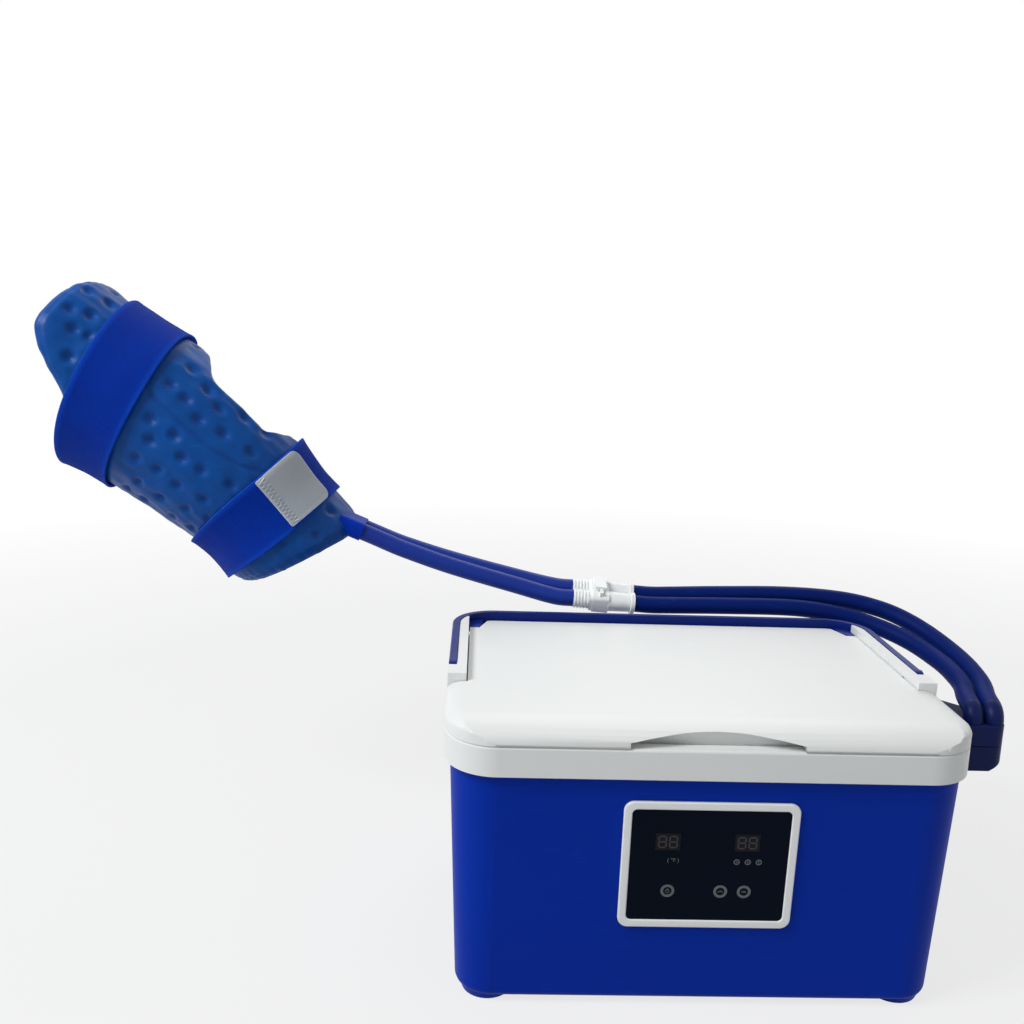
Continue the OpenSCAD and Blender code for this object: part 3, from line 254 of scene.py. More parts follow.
def makeMoulded(name, look):
    material, tree, shader = startFinish(name, look)
    surface = addNode(tree, "Group", {"node_tree": mouldedGroup},
                      {"Grain": look["grain"], "Cloud": 9.0, "Streak": 26.0})
    clouded = mixedColour(tree, surface.outputs["Mottle"], look["deep"], look["base"])
    rubbed = mixedColour(tree, surface.outputs["Rub"], clouded, look["rub"])
    tree.links.new(rubbed, shader.inputs["Base Color"])
    spreadRoughness(tree, shader, surface.outputs["Mottle"], look["rough"], 0.05)
    addRelief(tree, shader, surface.outputs["Height"], look["relief"])
    return material


paints = {name: makeMoulded(name, look) for name, look in finishes.items()}

# Which finish each CAD node keeps
nodeFinish = {
    "royalBody": ["body_shell", "pad_port"],
    "whiteMoulding": ["collar", "lid_shell"],
    "bezelMoulding": ["panel_bezel"],
    "bailMoulding": ["carry_handle"],
    "navyMoulding": ["outlet_upper_shell", "outlet_lower_shell", "supply_elbow", "return_elbow"],
    "linerMoulding": ["inner_liner", "lid_liner", "duct_nuts", "shutoff_valves",
                      "pump_impeller"],
    "castFoam": ["insulation", "lid_insulation"],
    "sealRubber": ["lid_gasket", "plug_o_rings"],
    "brightSteel": ["lid_hinge_pins", "handle_pins", "panel_screws", "outlet_screws",
                    "jack_nut"],
    "glossPanel": ["panel_fascia"],
    "displayLens": ["left_display", "right_display"],
    "keyCap": ["power_button", "up_button", "down_button"],
    "lampLens": ["status_lamps"],
    "boardLacquer": ["circuit_board"],
    "blackMoulding": ["button_switches", "pump_strainer", "pump_housing", "pump_motor",
                      "power_jack"],
    "siliconeTube": ["supply_tube", "return_tube"],
    "plainAluminium": ["heater_plate"],
    "plainBrass": ["temperature_probe"],
    "wireSheath": ["probe_lead", "pump_lead", "heater_lead", "power_lead"],
    "couplingMoulding": ["coupling_socket", "coupling_latch", "coupling_plug"],
}
for finishName, nodeNames in nodeFinish.items():
    for nodeName in nodeNames:
        mesh = cadNodes[nodeName].data
        mesh.materials.clear()
        mesh.materials.append(paints[finishName])
print("finishes made:", len(paints))


# Every new piece is closed off here: its mesh, finish, body and the nodes it stands for
def placePiece(name, data, paint, body, standsFor=(), edgeAngle=40):
    piece = bpy.data.objects.new(name, data)
    scene.collection.objects.link(piece)
    data.materials.append(paint)
    if isinstance(data, bpy.types.Mesh):
        data.shade_smooth()
        data.set_sharp_from_angle(angle=math.radians(edgeAngle))
    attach(piece, body)
    if standsFor:
        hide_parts(*standsFor)
    return piece


def closeMesh(bm, name):
    bmesh.ops.recalc_face_normals(bm, faces=bm.faces)
    mesh = bpy.data.meshes.new(name)
    bm.to_mesh(mesh)
    bm.free()
    return mesh


# Hoses: each is one smooth curve through its route
hoseSet = {"diameter": 0.016, "sides": 7, "finePoints": 40, "routes": {
    "supplyHoseSleeve": {
        "node": "supply_hose", "body": "cooler", "paint": "hoseSleeve", "slot": "hose_foam",
        "points": 24, "farEnd": "connector",
        "with": ["coupling_socket", "coupling_latch"],
        "route": [(264, 32, 196), (264, 62, 204), (257, 92, 212), (243, 122, 221),
                  (222, 144, 229), (187, 160, 235), (134, 168, 237), (66, 168, 236),
                  (-3.8, 168, 233.7), (-19.8, 168, 234.8)]},
    "returnHoseSleeve": {
        "node": "return_hose", "body": "cooler", "paint": "hoseSleeve", "slot": "hose_foam",
        "points": 24, "farEnd": "fitting", "with": ["shutoff_valves"],
        "route": [(246.5, 34, 197), (245.5, 58, 202.5), (240.5, 82, 206.5),
                  (230.5, 105.5, 211.5), (216.5, 123.5, 216), (193, 140, 221.5),
                  (163, 148, 226.5), (130, 151.5, 229),
                  (63, 152, 229), (-4.2, 152, 228.1), (-20.2, 152, 229.2)]},
    "padSupplySleeve": {
        "node": "pad_supply_hose", "body": "pad", "paint": "padHoseSleeve",
        "slot": "pad_hose_foam", "points": 18, "farEnd": "object",
        "with": ["coupling_plug", "plug_o_rings"],
        "route": [(-77.8, 168, 238.9), (-93.7, 168, 240), (-128, 172.5, 246.2),
                  (-195.7, 176.5, 262.2), (-243.7, 179.5, 276), (-263.6, 180.5, 283.6),
                  (-278.4, 180.5, 289.6)]},
    "padReturnSleeve": {
        "node": "pad_return_hose", "body": "pad", "paint": "padHoseSleeve",
        "slot": "pad_hose_foam", "points": 18, "farEnd": "object", "with": [],
        "route": [(-78.2, 152, 233.2), (-94.1, 152, 234.3), (-128, 155.7, 242.2),
                  (-195.7, 159.6, 260), (-243.7, 162.6, 275.5), (-263.6, 163.5, 283.6),
                  (-278.4, 163.5, 289.6)]},
}}
elbow = {"radius": 9.6, "bend": 82, "yaw": 10, "supplyHoseSleeve": 255.5,
         "returnHoseSleeve": 238.5, "y": -5.75, "z": 181.2, "straight": 16}


def elbowStart(x):
    bend, yaw = math.radians(elbow["bend"]), math.radians(elbow["yaw"])
    reach = elbow["radius"] * (1 - math.cos(bend))
    end = Vector((x + reach * math.sin(yaw), elbow["y"] + reach * math.cos(yaw),
                  elbow["z"] + elbow["radius"] * math.sin(bend)))
    way = Vector((math.sin(bend) * math.sin(yaw), math.sin(bend) * math.cos(yaw),
                  math.cos(bend)))
    return [end, end + elbow["straight"] * way]


def smoothRoute(points, count):
    ways = [(points[min(i + 1, len(points) - 1)] - points[max(i - 1, 0)]).normalized()
            for i in range(len(points))]
    fine = [points[0]]
    for i in range(len(points) - 1):
        third = (points[i + 1] - points[i]).length / 3
        fine += interpolate_bezier(points[i], points[i] + third * ways[i],
                                   points[i + 1] - third * ways[i + 1], points[i + 1],
                                   hoseSet["finePoints"])[1:]
    reached = [0.0]
    for a, b in zip(fine, fine[1:]):
        reached.append(reached[-1] + (b - a).length)
    even, k = [], 0
    for i in range(count):
        wanted = reached[-1] * i / (count - 1)
        while k < len(fine) - 2 and reached[k + 1] < wanted:
            k += 1
        share = (wanted - reached[k]) / (reached[k + 1] - reached[k])
        even.append(fine[k].lerp(fine[k + 1], share))
    return even, reached[-1]


def makeHose(name, hose):
    route = [Vector(p) for p in hose["route"]]
    if name in elbow:
        route = elbowStart(elbow[name]) + route
    points, length = smoothRoute([p * millimetre for p in route], hose["points"])
    curve = bpy.data.curves.new(name, "CURVE")
    curve.dimensions = "3D"
    curve.bevel_depth = hoseSet["diameter"] / 2
    curve.bevel_resolution = hoseSet["sides"]
    curve.resolution_u = 4
    curve.use_fill_caps = True
    spline = curve.splines.new("BEZIER")
    spline.bezier_points.add(len(points) - 1)
    for knot, point in zip(spline.bezier_points, points):
        knot.co = point
        knot.handle_left_type = knot.handle_right_type = "AUTO"
    piece = placePiece(name, curve, paints[hose["paint"]], hose["body"],
                       [hose["node"]])


for hoseName, hose in hoseSet["routes"].items():
    makeHose(hoseName, hose)
print("hoses laid")


# The line that the pad and straps wrap round, with their sizes. Angles: 0 front, 90 up
wrapLine = {"place": Vector((-0.503, 0.185, 0.409)), "angle": 28, "bend": 22, "length": 0.169,
            "flatRadius": 78}
padShape = {
    "rows": 64, "columns": 46, "side": 111, "thick": 0.011, "rimThick": 0.0022,
    "rimWidth": 0.020, "cornerRadius": 0.024, "under": 0.0016,
    "outer": [(-110, 92), (-76, 88), (-34, 80), (0, 77.5), (60, 77), (120, 72), (169, 64),
              (240, 66)],
    "left": [(-110, -16), (-12, -20), (14, -62), (24, -77), (55, -76), (90, -70), (110, -64)],
    "right": [(-110, 203), (-90, 203), (60, 235), (110, 235)],
    "dip": [(35, 1), (62, 0.31), (120, 0.31), (145, 1)], "dipFrom": 40,
}
strapSet = {"width": 0.054, "thick": 0.0022, "gap": 0.0005, "turns": 144, "rows": 10,
            "places": {"upper_strap": 0.0, "lower_strap": wrapLine["length"]},
            "lean": {"upper_strap": (0.0035, -0.0065), "lower_strap": (0.0, 0.0)}}
tabSet = {"length": 0.050, "sweep": 45, "thick": 0.0018, "lift": 0.0004, "corner": 0.008,
          "rootCorner": 0.0015, "stitchRadius": 0.0005, "stitches": 26, "seamInset": 0.002,
          "seamFar": 0.0085}


def between(value, table):
    if value <= table[0][0]:
        return table[0][1]
    for (x0, y0), (x1, y1) in zip(table, table[1:]):
        if value <= x1:
            return y0 + (y1 - y0) * (value - x0) / (x1 - x0)
    return table[-1][1]


def eased(value, table, spread):
    shares = ((-1, 0.15), (-0.5, 0.2), (0, 0.3), (0.5, 0.2), (1, 0.15))
    return sum(weight * between(value + spread * step, table) for step, weight in shares)


def wrapWay(s):
    share = min(max(s / wrapLine["length"], 0), 1)
    return math.radians(wrapLine["angle"] + wrapLine["bend"] * share)


def onWrap(s, angle, radius):
    way, start = wrapWay(s), math.radians(wrapLine["angle"])
    curveRadius = wrapLine["length"] / math.radians(wrapLine["bend"])
    beyond = s - min(max(s, 0), wrapLine["length"])
    centre = wrapLine["place"] + curveRadius * Vector(
        (math.sin(way) - math.sin(start), 0, math.cos(way) - math.cos(start)))
    centre += beyond * Vector((math.cos(way), 0, -math.sin(way)))
    turn = math.radians(angle)
    return centre + radius * Vector((math.sin(turn) * math.sin(way), -math.cos(turn),
                                     math.sin(turn) * math.cos(way)))


def padRadius(s):
    return eased(s / millimetre, padShape["outer"], 10) * millimetre


# Welded dots, as (millimetres along the line, angle): the near side is read off the photograph
weldDots = [
    (-40, 69), (-42, 50), (-46, 35), (-31, 36), (-36, 18), (-58, 45),
    (46, 57), (42, 37), (66, 51), (58, 35), (46, 10), (76, 29), (70, 10), (98, 33), (82, 45),
    (54, -19), (56, -2), (86, 1), (106, 3), (76, -17), (132, 9), (124, -13), (98, -18),
    (118, -30), (124, 37), (120, 58), (100, 55), (142, -24), (66, -36), (92, -38),
    (112, -50), (78, -56), (58, -54), (134, -46), (98, -72), (70, -76), (124, -72),
    (148, -66), (52, -94), (84, -94), (110, -94), (138, -90), (0, -62), (18, -40), (12, -88),
    (-14, -76), (-8, 60), (10, 40), (16, 72), (-10, 24), (14, 14), (-20, 2), (20, -14),
    (-60, 66), (-48, 88), (-22, 84), (30, 88), (2, 100), (58, 84),
    (84, 80), (116, 86), (190, -24), (196, 8), (186, 40), (204, 60), (180, -60), (214, 34),
    (176, 70), (160, -40), (166, 20), (160, 52)]
# The long weld that parts the pad's two channels
channelWeld = [(24, 26), (38, 23), (56, 21), (72, 19), (88, 18.5), (106, 19.5), (126, 24),
               (140, 32), (148, 40)]


def aroundWrap(angle):
    return math.radians(angle) * wrapLine["flatRadius"]


def flatPlace(s, angle):
    return Vector((s, aroundWrap(angle)))


dotPlaces = [flatPlace(s, angle) for s, angle in weldDots]
weldPlaces = [flatPlace(s, angle) for s, angle in channelWeld]


def toDot(place):
    return min((place - dot).length for dot in dotPlaces)


def toChannel(place):
    nearest = 1e9
    for a, b in zip(weldPlaces, weldPlaces[1:]):
        along = b - a
        share = min(max((place - a).dot(along) / along.length_squared, 0), 1)
        nearest = min(nearest, (place - a - share * along).length)
    return nearest


def rounded(distance, radius):
    share = min(max(distance / radius, 0), 1)
    return 1 - share * share * (3 - 2 * share)


def padPlace(across, along):
    side = padShape["side"]
    angle = -side + 2 * side * across
    left = eased(angle, padShape["left"], 9)
    right = eased(angle, padShape["right"], 9)
    corner = padShape["cornerRadius"] / millimetre
    fromEnd = aroundWrap(side - abs(angle))
    inset = corner - math.sqrt(max(corner ** 2 - max(corner - fromEnd, 0) ** 2, 0))
    left, right = left + inset, right - inset
    s = left + (right - left) * along
    bare = padShape["dipFrom"]
    turned = angle if angle < bare else bare + (angle - bare) * eased(s, padShape["dip"], 5)
    edge = min(s - left, right - s, fromEnd)
    return s, turned, max(edge, 0)


def underStrap(s):
    half = strapSet["width"] / millimetre / 2
    return max(rounded(abs(s - centre / millimetre) - half, 7)
               for centre in strapSet["places"].values())


# Water pressure swells the skin between its welds; no point moves further than the cap
swelling = {"pressure": 4.0, "frames": 20, "cap": 0.0042, "stiffness": 12.0,
            "heldEdge": 3, "heldDot": 9, "heldWeld": 6, "byHand": 0.0022}


def buildPad():
    bm = bmesh.new()
    across = bm.verts.layers.float.new("across")
    along = bm.verts.layers.float.new("along")
    held = bm.verts.layers.float.new("held")
    bmesh.ops.create_grid(bm, x_segments=padShape["columns"], y_segments=padShape["rows"],
                          size=1)
    for vert in bm.verts:
        vert[across], vert[along] = (vert.co.y + 1) / 2, (vert.co.x + 1) / 2
    rim = [edge for edge in bm.edges if edge.is_boundary]
    copied = bmesh.ops.duplicate(bm, geom=bm.verts[:] + bm.edges[:] + bm.faces[:])
    innerVerts = {g for g in copied["geom"] if isinstance(g, bmesh.types.BMVert)}
    innerRim = [g for g in copied["geom"]
                if isinstance(g, bmesh.types.BMEdge) and g.is_boundary]
    for vert in bm.verts:
        s, angle, edge = padPlace(vert[across], vert[along])
        crown = 1 - (1 - min(edge * millimetre / padShape["rimWidth"], 1)) ** 2
        thick = padShape["rimThick"] + (padShape["thick"] - padShape["rimThick"]
                                        - padShape["under"]) * math.sqrt(crown)
        base = padRadius(s * millimetre) - padShape["thick"]
        inside = vert in innerVerts
        vert.co = onWrap(s * millimetre, angle, base if inside else base + thick)
        place = flatPlace(s, angle)
        vert[held] = 1.0 if inside or edge < swelling["heldEdge"] else max(
            rounded(toDot(place), swelling["heldDot"]),
            rounded(toChannel(place), swelling["heldWeld"]) * 0.8, underStrap(s) * 0.9)
    bmesh.ops.bridge_loops(bm, edges=rim + innerRim)
    return closeMesh(bm, "padBladder")


def swellPad(piece):
    mesh = piece.data
    group = piece.vertex_groups.new(name="held")
    layer = mesh.attributes["held"].data
    for i, value in enumerate(layer):
        group.add([i], value.value, "REPLACE")
    cloth = piece.modifiers.new("swell", "CLOTH")
    settings = cloth.settings
    settings.quality, settings.mass = 6, 0.25
    settings.use_pressure = True
    settings.uniform_pressure_force = swelling["pressure"]
    settings.effector_weights.gravity = 0
    settings.vertex_group_mass = "held"
    settings.tension_stiffness = settings.compression_stiffness = swelling["stiffness"]
    cloth.point_cache.frame_start, cloth.point_cache.frame_end = 1, swelling["frames"]
    for step in range(1, swelling["frames"] + 1):
        scene.frame_set(step)
    shaped = piece.evaluated_get(bpy.context.evaluated_depsgraph_get())
    moved = [v.co.copy() for v in shaped.data.vertices]
    piece.modifiers.remove(cloth)
    piece.vertex_groups.clear()
    scene.frame_set(1)
    for vert, place in zip(mesh.vertices, moved):
        shift = place - vert.co
        if shift.length > swelling["cap"]:
            shift *= swelling["cap"] / shift.length
        vert.co += shift


# Pressed in after the swelling. Reaches are in millimetres, depths in metres
pressing = {"dotReach": 9.5, "dotDepth": 0.0030, "weldReach": 4.0, "weldDepth": 0.0011,
            "hemFrom": 6.5, "hemReach": 2.2, "hemDepth": 0.0007,
            "longCrease": 0.0011, "fineCrease": 0.0005}


def pressPad(mesh):
    # Mask for painted shade: the pressed dots, the channel weld and the hem line, stored for the
    # skin's colour
    dentShadeMask = mesh.attributes.new("hem", "FLOAT", "POINT").data
    across = [d.value for d in mesh.attributes["across"].data]
    along = [d.value for d in mesh.attributes["along"].data]
    normals = [v.normal.copy() for v in mesh.vertices]
    for vert, normal in zip(mesh.vertices, normals):
        s, angle, edge = padPlace(across[vert.index], along[vert.index])
        outward = (onWrap(s * millimetre, angle, 1.1) - onWrap(s * millimetre, angle, 1.0))
        if normal.dot(outward) < 0.02:
            continue
        place = flatPlace(s, angle)
        fade = rounded(-(edge - 10), 8)
        dot = (1 - min(toDot(place) / pressing["dotReach"], 1) ** 2) ** 3 * fade
        weld = rounded(toChannel(place), pressing["weldReach"])
        hem = rounded(abs(edge - pressing["hemFrom"]), pressing["hemReach"])
        free = 1 - underStrap(s)
        crease = (noise.noise(Vector((s * 0.035, place.y * 0.11, 1.7))) * pressing["longCrease"]
                  + noise.noise(Vector((s * 0.09, place.y * 0.05, 5.1)))
                  * pressing["fineCrease"])
        depth = (pressing["dotDepth"] * dot + pressing["weldDepth"] * weld
                 + pressing["hemDepth"] * hem)
        vert.co += normal * (crease * free - depth * (0.3 + 0.7 * free))
        dentShadeMask[vert.index].value = min(dot + 0.6 * weld + 0.5 * hem, 1)


def makePadSkin():
    material, tree, shader = startFinish("padSkin", {"specular": 0.16})
    surface = addNode(tree, "Group", {"node_tree": mouldedGroup},
                      {"Grain": 700.0, "Cloud": 16.0, "Streak": 40.0})
    dentShadeMask = addNode(tree, "Attribute", {"attribute_name": "hem"})
    clouded = mixedColour(tree, surface.outputs["Mottle"], (1, 64, 140), (4, 84, 166))
    rubbed = mixedColour(tree, surface.outputs["Rub"], clouded, (14, 92, 176))
    # Painted shade: the skin is darkened to deep blue in its pressed dots, weld and hem line
    dentShadedColour = mixedColour(tree, dentShadeMask.outputs["Fac"], rubbed, (3, 64, 140))
    tree.links.new(dentShadedColour, shader.inputs["Base Color"])
    spreadRoughness(tree, shader, surface.outputs["Mottle"], 0.42, 0.08)
    addRelief(tree, shader, surface.outputs["Height"], 0.18)
    return material


paints["padSkin"] = makePadSkin()
padPiece = placePiece("padCover", buildPad(), paints["padSkin"], "pad",
                      ["pad_bladder"], 180)
swellPad(padPiece)


def subdivideMesh(piece, levels):
    finer = piece.modifiers.new("finer", "SUBSURF")
    finer.levels = finer.render_levels = levels
    shaped = piece.evaluated_get(bpy.context.evaluated_depsgraph_get())
    mesh = bpy.data.meshes.new_from_object(shaped)
    piece.modifiers.remove(finer)
    piece.data = mesh


subdivideMesh(padPiece, 2)
pressPad(padPiece.data)
print("pad shaped:", len(padPiece.data.vertices), "points")


# Straps: one row of cloth round the pad, drawn in at the back where the pad is open
def makeClothFinish(name, look):
    material, tree, shader = startFinish(name, look)
    surface = addNode(tree, "Group", {"node_tree": clothGroup},
                      {"Across": look["across"], "Along": look["along"], "Pile": look["pile"]})
    clouded = mixedColour(tree, surface.outputs["Mottle"], look["deep"], look["base"])
    hemmed = mixedColour(tree, surface.outputs["Hem"], clouded, look["hem"])
    tree.links.new(hemmed, shader.inputs["Base Color"])
    spreadRoughness(tree, shader, surface.outputs["Mottle"], look["rough"], 0.06)
    addRelief(tree, shader, surface.outputs["Height"], look["relief"])
    return material


clothLooks = {
    "strapCloth": {"base": (2, 54, 172), "deep": (1, 44, 150), "hem": (8, 72, 196),
                   "rough": 0.85, "relief": 0.3, "across": 4200, "along": 3600,
                   "pile": 1500, "specular": 0.06, "sheen": 0.05},
    "tabCloth": {"base": (176, 183, 190), "deep": (160, 168, 177), "hem": (196, 202, 207),
                 "rough": 0.7, "relief": 0.2, "across": 5200, "along": 5200,
                 "pile": 2600, "specular": 0.25, "sheen": 0.15},
}
for clothName, look in clothLooks.items():
    paints[clothName] = makeClothFinish(clothName, look)


def strapRadius(s, angle):
    down = between(abs(angle), [(118, 0), (134, 0.5), (152, 1)])
    return (padRadius(s) + strapSet["gap"]
            - (padShape["thick"] + strapSet["gap"] - 0.0005) * down)


def writeUv(mesh, spots):
    layer = mesh.uv_layers.new(name="weave")
    for loop in mesh.loops:
        layer.data[loop.index].uv = spots[loop.vertex_index]


def buildStrap(name, centre, lean):
    bm = bmesh.new()
    turn = bm.verts.layers.float.new("turn")
    width = bm.verts.layers.float.new("width")
    bmesh.ops.create_grid(bm, x_segments=strapSet["turns"], y_segments=strapSet["rows"], size=1)
    half = strapSet["width"] / 2
    for vert in bm.verts:
        vert[turn], vert[width] = vert.co.x * 180, vert.co.y
        angle = vert[turn]
        wander = 0.0008 * math.sin(math.radians(angle * 3 + 40 * vert.co.y))
        ripple = 0.0005 * noise.noise(Vector((math.cos(math.radians(angle)) * 2,
                                              math.sin(math.radians(angle)) * 2,
                                              vert.co.y * 1.5 + centre * 40)))
        s = (centre + vert[width] * half + wander + lean[0]
             + lean[1] * math.sin(math.radians(angle)))
        curl = 0.0007 * abs(vert[width]) ** 6
        vert.co = onWrap(s, angle, strapRadius(s, angle) + strapSet["thick"] / 2
                         + ripple + curl)
    bmesh.ops.remove_doubles(bm, verts=bm.verts, dist=0.0001)
    mesh = closeMesh(bm, name)
    spots = [(aroundWrap(t.value) * millimetre, w.value * half) for t, w in
             zip(mesh.attributes["turn"].data, mesh.attributes["width"].data)]
    hem = mesh.attributes.new("hem", "FLOAT", "POINT").data
    for i, w in enumerate(mesh.attributes["width"].data):
        hem[i].value = rounded(1 - abs(w.value), 0.11)
    writeUv(mesh, spots)
    return mesh


def thicken(piece, thick, rimBevel):
    solid = piece.modifiers.new("thick", "SOLIDIFY")
    solid.thickness, solid.offset = thick, 0
    edge = piece.modifiers.new("edge", "BEVEL")
    edge.width, edge.segments, edge.limit_method = rimBevel, 3, "ANGLE"
    edge.angle_limit = math.radians(50)


for strapNode, centre in strapSet["places"].items():
    strapName = "upperStrapBand" if strapNode == "upper_strap" else "lowerStrapBand"
    strapMesh = buildStrap(strapName, centre, strapSet["lean"][strapNode])
    strap = placePiece(strapName, strapMesh, paints["strapCloth"], "pad",
                       [strapNode], 180)
    thicken(strap, strapSet["thick"], 0.0007)
print("straps wrapped")


def cutAt(bm, place, normal):
    bmesh.ops.bisect_plane(bm, geom=bm.verts[:] + bm.edges[:] + bm.faces[:], plane_co=place,
                           plane_no=normal)


# Hook tabs: rounded plates of stiff cloth on the strap's end, with a zigzag seam at the root
def buildTab(name, centre, startAngle):
    radius = strapRadius(centre, startAngle) + strapSet["thick"]
    half, spread = tabSet["length"] / 2, math.radians(tabSet["sweep"]) * radius
    bm = bmesh.new()
    bmesh.ops.create_grid(bm, x_segments=1, y_segments=1, size=1)
    for vert in bm.verts:
        vert.co = Vector((vert.co.x * half, (vert.co.y + 1) / 2 * spread, 0))
    tips = [vert for vert in bm.verts if vert.co.y > spread / 2]
    bmesh.ops.bevel(bm, geom=tips, offset=tabSet["corner"], affect="VERTICES", segments=6,
                    profile=0.5, material=-1)
    roots = [vert for vert in bm.verts if vert.co.y < 0.0001]
    bmesh.ops.bevel(bm, geom=roots, offset=tabSet["rootCorner"], affect="VERTICES",
                    segments=3, profile=0.5, material=-1)
    for k in range(1, 24):
        cutAt(bm, Vector((0, spread * k / 24, 0)), Vector((0, 1, 0)))
    for k in range(-4, 5):
        cutAt(bm, Vector((half * k / 5, 0, 0)), Vector((1, 0, 0)))
    spots = []
    for vert in bm.verts:
        spots.append((vert.co.y, vert.co.x))
        s, angle = centre + vert.co.x, startAngle + tabSet["sweep"] * vert.co.y / spread
        lift = strapSet["thick"] + tabSet["lift"] + tabSet["thick"] / 2
        vert.co = onWrap(s, angle, strapRadius(s, angle) + lift)
    mesh = closeMesh(bm, name)
    hem = mesh.attributes.new("hem", "FLOAT", "POINT").data
    for i, (y, x) in enumerate(spots):
        hem[i].value = rounded(min(half - abs(x), y, spread - y), 0.0025)
    writeUv(mesh, spots)
    return mesh, spread


def meshFromCurve(curve):
    holder = bpy.data.objects.new(curve.name + "Line", curve)
    scene.collection.objects.link(holder)
    bpy.context.view_layer.update()
    mesh = bpy.data.meshes.new_from_object(
        holder.evaluated_get(bpy.context.evaluated_depsgraph_get()))
    bpy.data.objects.remove(holder)
    return mesh


def buildStitches(name, centre, startAngle, spread):
    count, half = tabSet["stitches"], tabSet["length"] / 2 - tabSet["seamInset"]
    curve = bpy.data.curves.new(name, "CURVE")
    curve.dimensions = "3D"
    curve.bevel_depth, curve.bevel_resolution = tabSet["stitchRadius"], 2
    curve.use_fill_caps = True
    spline = curve.splines.new("POLY")
    spline.points.add(count)
    for k, knot in enumerate(spline.points):
        s = centre - half + 2 * half * k / count
        inward = tabSet["seamInset"] if k % 2 else tabSet["seamFar"]
        angle = startAngle + tabSet["sweep"] * inward / spread
        lift = strapSet["thick"] + tabSet["lift"] + tabSet["thick"] + 0.0001
        knot.co = (*onWrap(s, angle, strapRadius(s, angle) + lift), 1)
    return meshFromCurve(curve)


threadLook = {"base": (232, 235, 238), "deep": (214, 219, 224), "rough": 0.7, "relief": 0.05,
              "grain": 3000, "rub": (220, 222, 224), "specular": 0.2}
paints["seamThread"] = makeMoulded("seamThread", threadLook)
tabs = {"lowerTabPlate": ("lower_hook_tab", "lower_strap", 22.5),
        "upperTabPlate": ("upper_hook_tab", "upper_strap", -210)}
for tabName, (tabNode, strapNode, startAngle) in tabs.items():
    centre = strapSet["places"][strapNode]
    mesh, spread = buildTab(tabName, centre, startAngle)
    tab = placePiece(tabName, mesh, paints["tabCloth"], "pad", [tabNode], 180)
    thicken(tab, tabSet["thick"], 0.0005)
    seam = placePiece(tabName.replace("Plate", "Seam"),
                      buildStitches(tabName + "Seam", centre, startAngle, spread),
                      paints["seamThread"], "pad", (), 60)
print("tabs and seams sewn")


# Marks printed on the panel, in its own plane: x across, y up, z out of the panel
panelMarks = {
    "place": (0, -0.12139, 0.116), "lean": 2.4,
    "faceOut": 0.0018, "displayOut": 0.0016, "keyOut": 0.0020, "printed": 0.00012,
    "displays": [-0.030, 0.0265], "displayUp": 0.0185, "digitWide": 0.0052,
    "digitHigh": 0.0086, "digitPitch": 0.0078, "barWide": 0.0011,
    "lamps": [0.020, 0.0279, 0.0358], "lampUp": 0.0035,
    "keys": {"power_key": -0.028, "up_key": 0.010, "down_key": 0.027}, "keyUp": -0.020,
    "lampRing": (0.0022, 0.0015), "lampBar": (0.0018, 0.0006), "keyRing": (0.0050, 0.0031),
    "unit": "( °F )", "unitHigh": 0.0042, "unitAcross": -0.0255, "unitUp": 0.0042,
}
panelPlane = (Matrix.Translation(panelMarks["place"])
              @ Matrix.Rotation(math.radians(panelMarks["lean"] + 90), 4, "X"))


def raiseFaces(bm, faces, place):
    verts = {v for face in faces for v in face.verts}
    grown = bmesh.ops.extrude_face_region(bm, geom=faces)["geom"]
    top = [g for g in grown if isinstance(g, bmesh.types.BMVert)]
    bmesh.ops.translate(bm, verts=top, vec=(0, 0, panelMarks["printed"]))
    bmesh.ops.transform(bm, matrix=place, verts=list(verts | set(top)))


def addRing(bm, x, y, out, outer, inner):
    edge = bmesh.ops.create_circle(bm, cap_ends=True, segments=40, radius=outer)["verts"]
    disc = edge[0].link_faces[0]
    rim = bmesh.ops.inset_individual(bm, faces=[disc], thickness=outer - inner)["faces"]
    bmesh.ops.delete(bm, geom=[disc], context="FACES_ONLY")
    raiseFaces(bm, rim, Matrix.Translation((x, y, out)))


def addBar(bm, x, y, out, long, wide, turn=0.0):
    bar = bmesh.ops.create_circle(bm, cap_ends=True, segments=6, radius=1)["verts"]
    for vert in bar:
        upper = math.copysign(1, vert.co.y)
        if abs(vert.co.x) < 0.1:
            vert.co = Vector((0, upper * long / 2, 0))
        else:
            vert.co = Vector((math.copysign(wide / 2, vert.co.x),
                              upper * (long - wide) / 2, 0))
    raiseFaces(bm, [bar[0].link_faces[0]],
               Matrix.Translation((x, y, out)) @ Matrix.Rotation(math.radians(turn), 4, "Z"))


def addDigit(bm, x, y, out):
    wide, high, bar = (panelMarks[k] for k in ("digitWide", "digitHigh", "barWide"))
    for sx in (-1, 1):
        for sy in (-1, 1):
            addBar(bm, x + sx * wide / 2, y + sy * high / 4, out, high / 2 - bar * 0.3, bar)
    for sy in (-1, 0, 1):
        addBar(bm, x, y + sy * high / 2, out, wide - bar * 0.5, bar, 90)


def placeMarks(name, bm, paint, body):
    bmesh.ops.transform(bm, matrix=panelPlane, verts=bm.verts)
    return placePiece(name, closeMesh(bm, name), paints[paint], body, (), 30)


# Rims at the coupling's bells and ribs round the plug's sleeves
couplingSet = {"place": (-20, 160, 232), "tilt": 4, "roll": 19.6, "half": 8.5, "step": 1.2,
               "hoops": {
                   "couplingRims": {"body": "cooler", "radius": 10.2, "wide": 3.0,
                                    "places": [-1.0, -2.6]},
                   "sleeveRibs": {"body": "pad", "radius": 9.1, "wide": 1.6,
                                  "places": [-44.5, -47.5, -50.5, -53.5, -56.5]}}}
couplingPlane = (Matrix.Scale(millimetre, 4) @ Matrix.Translation(couplingSet["place"])
                 @ Matrix.Rotation(math.radians(couplingSet["tilt"]), 4, "Y")
                 @ Matrix.Rotation(math.radians(couplingSet["roll"]), 4, "X"))


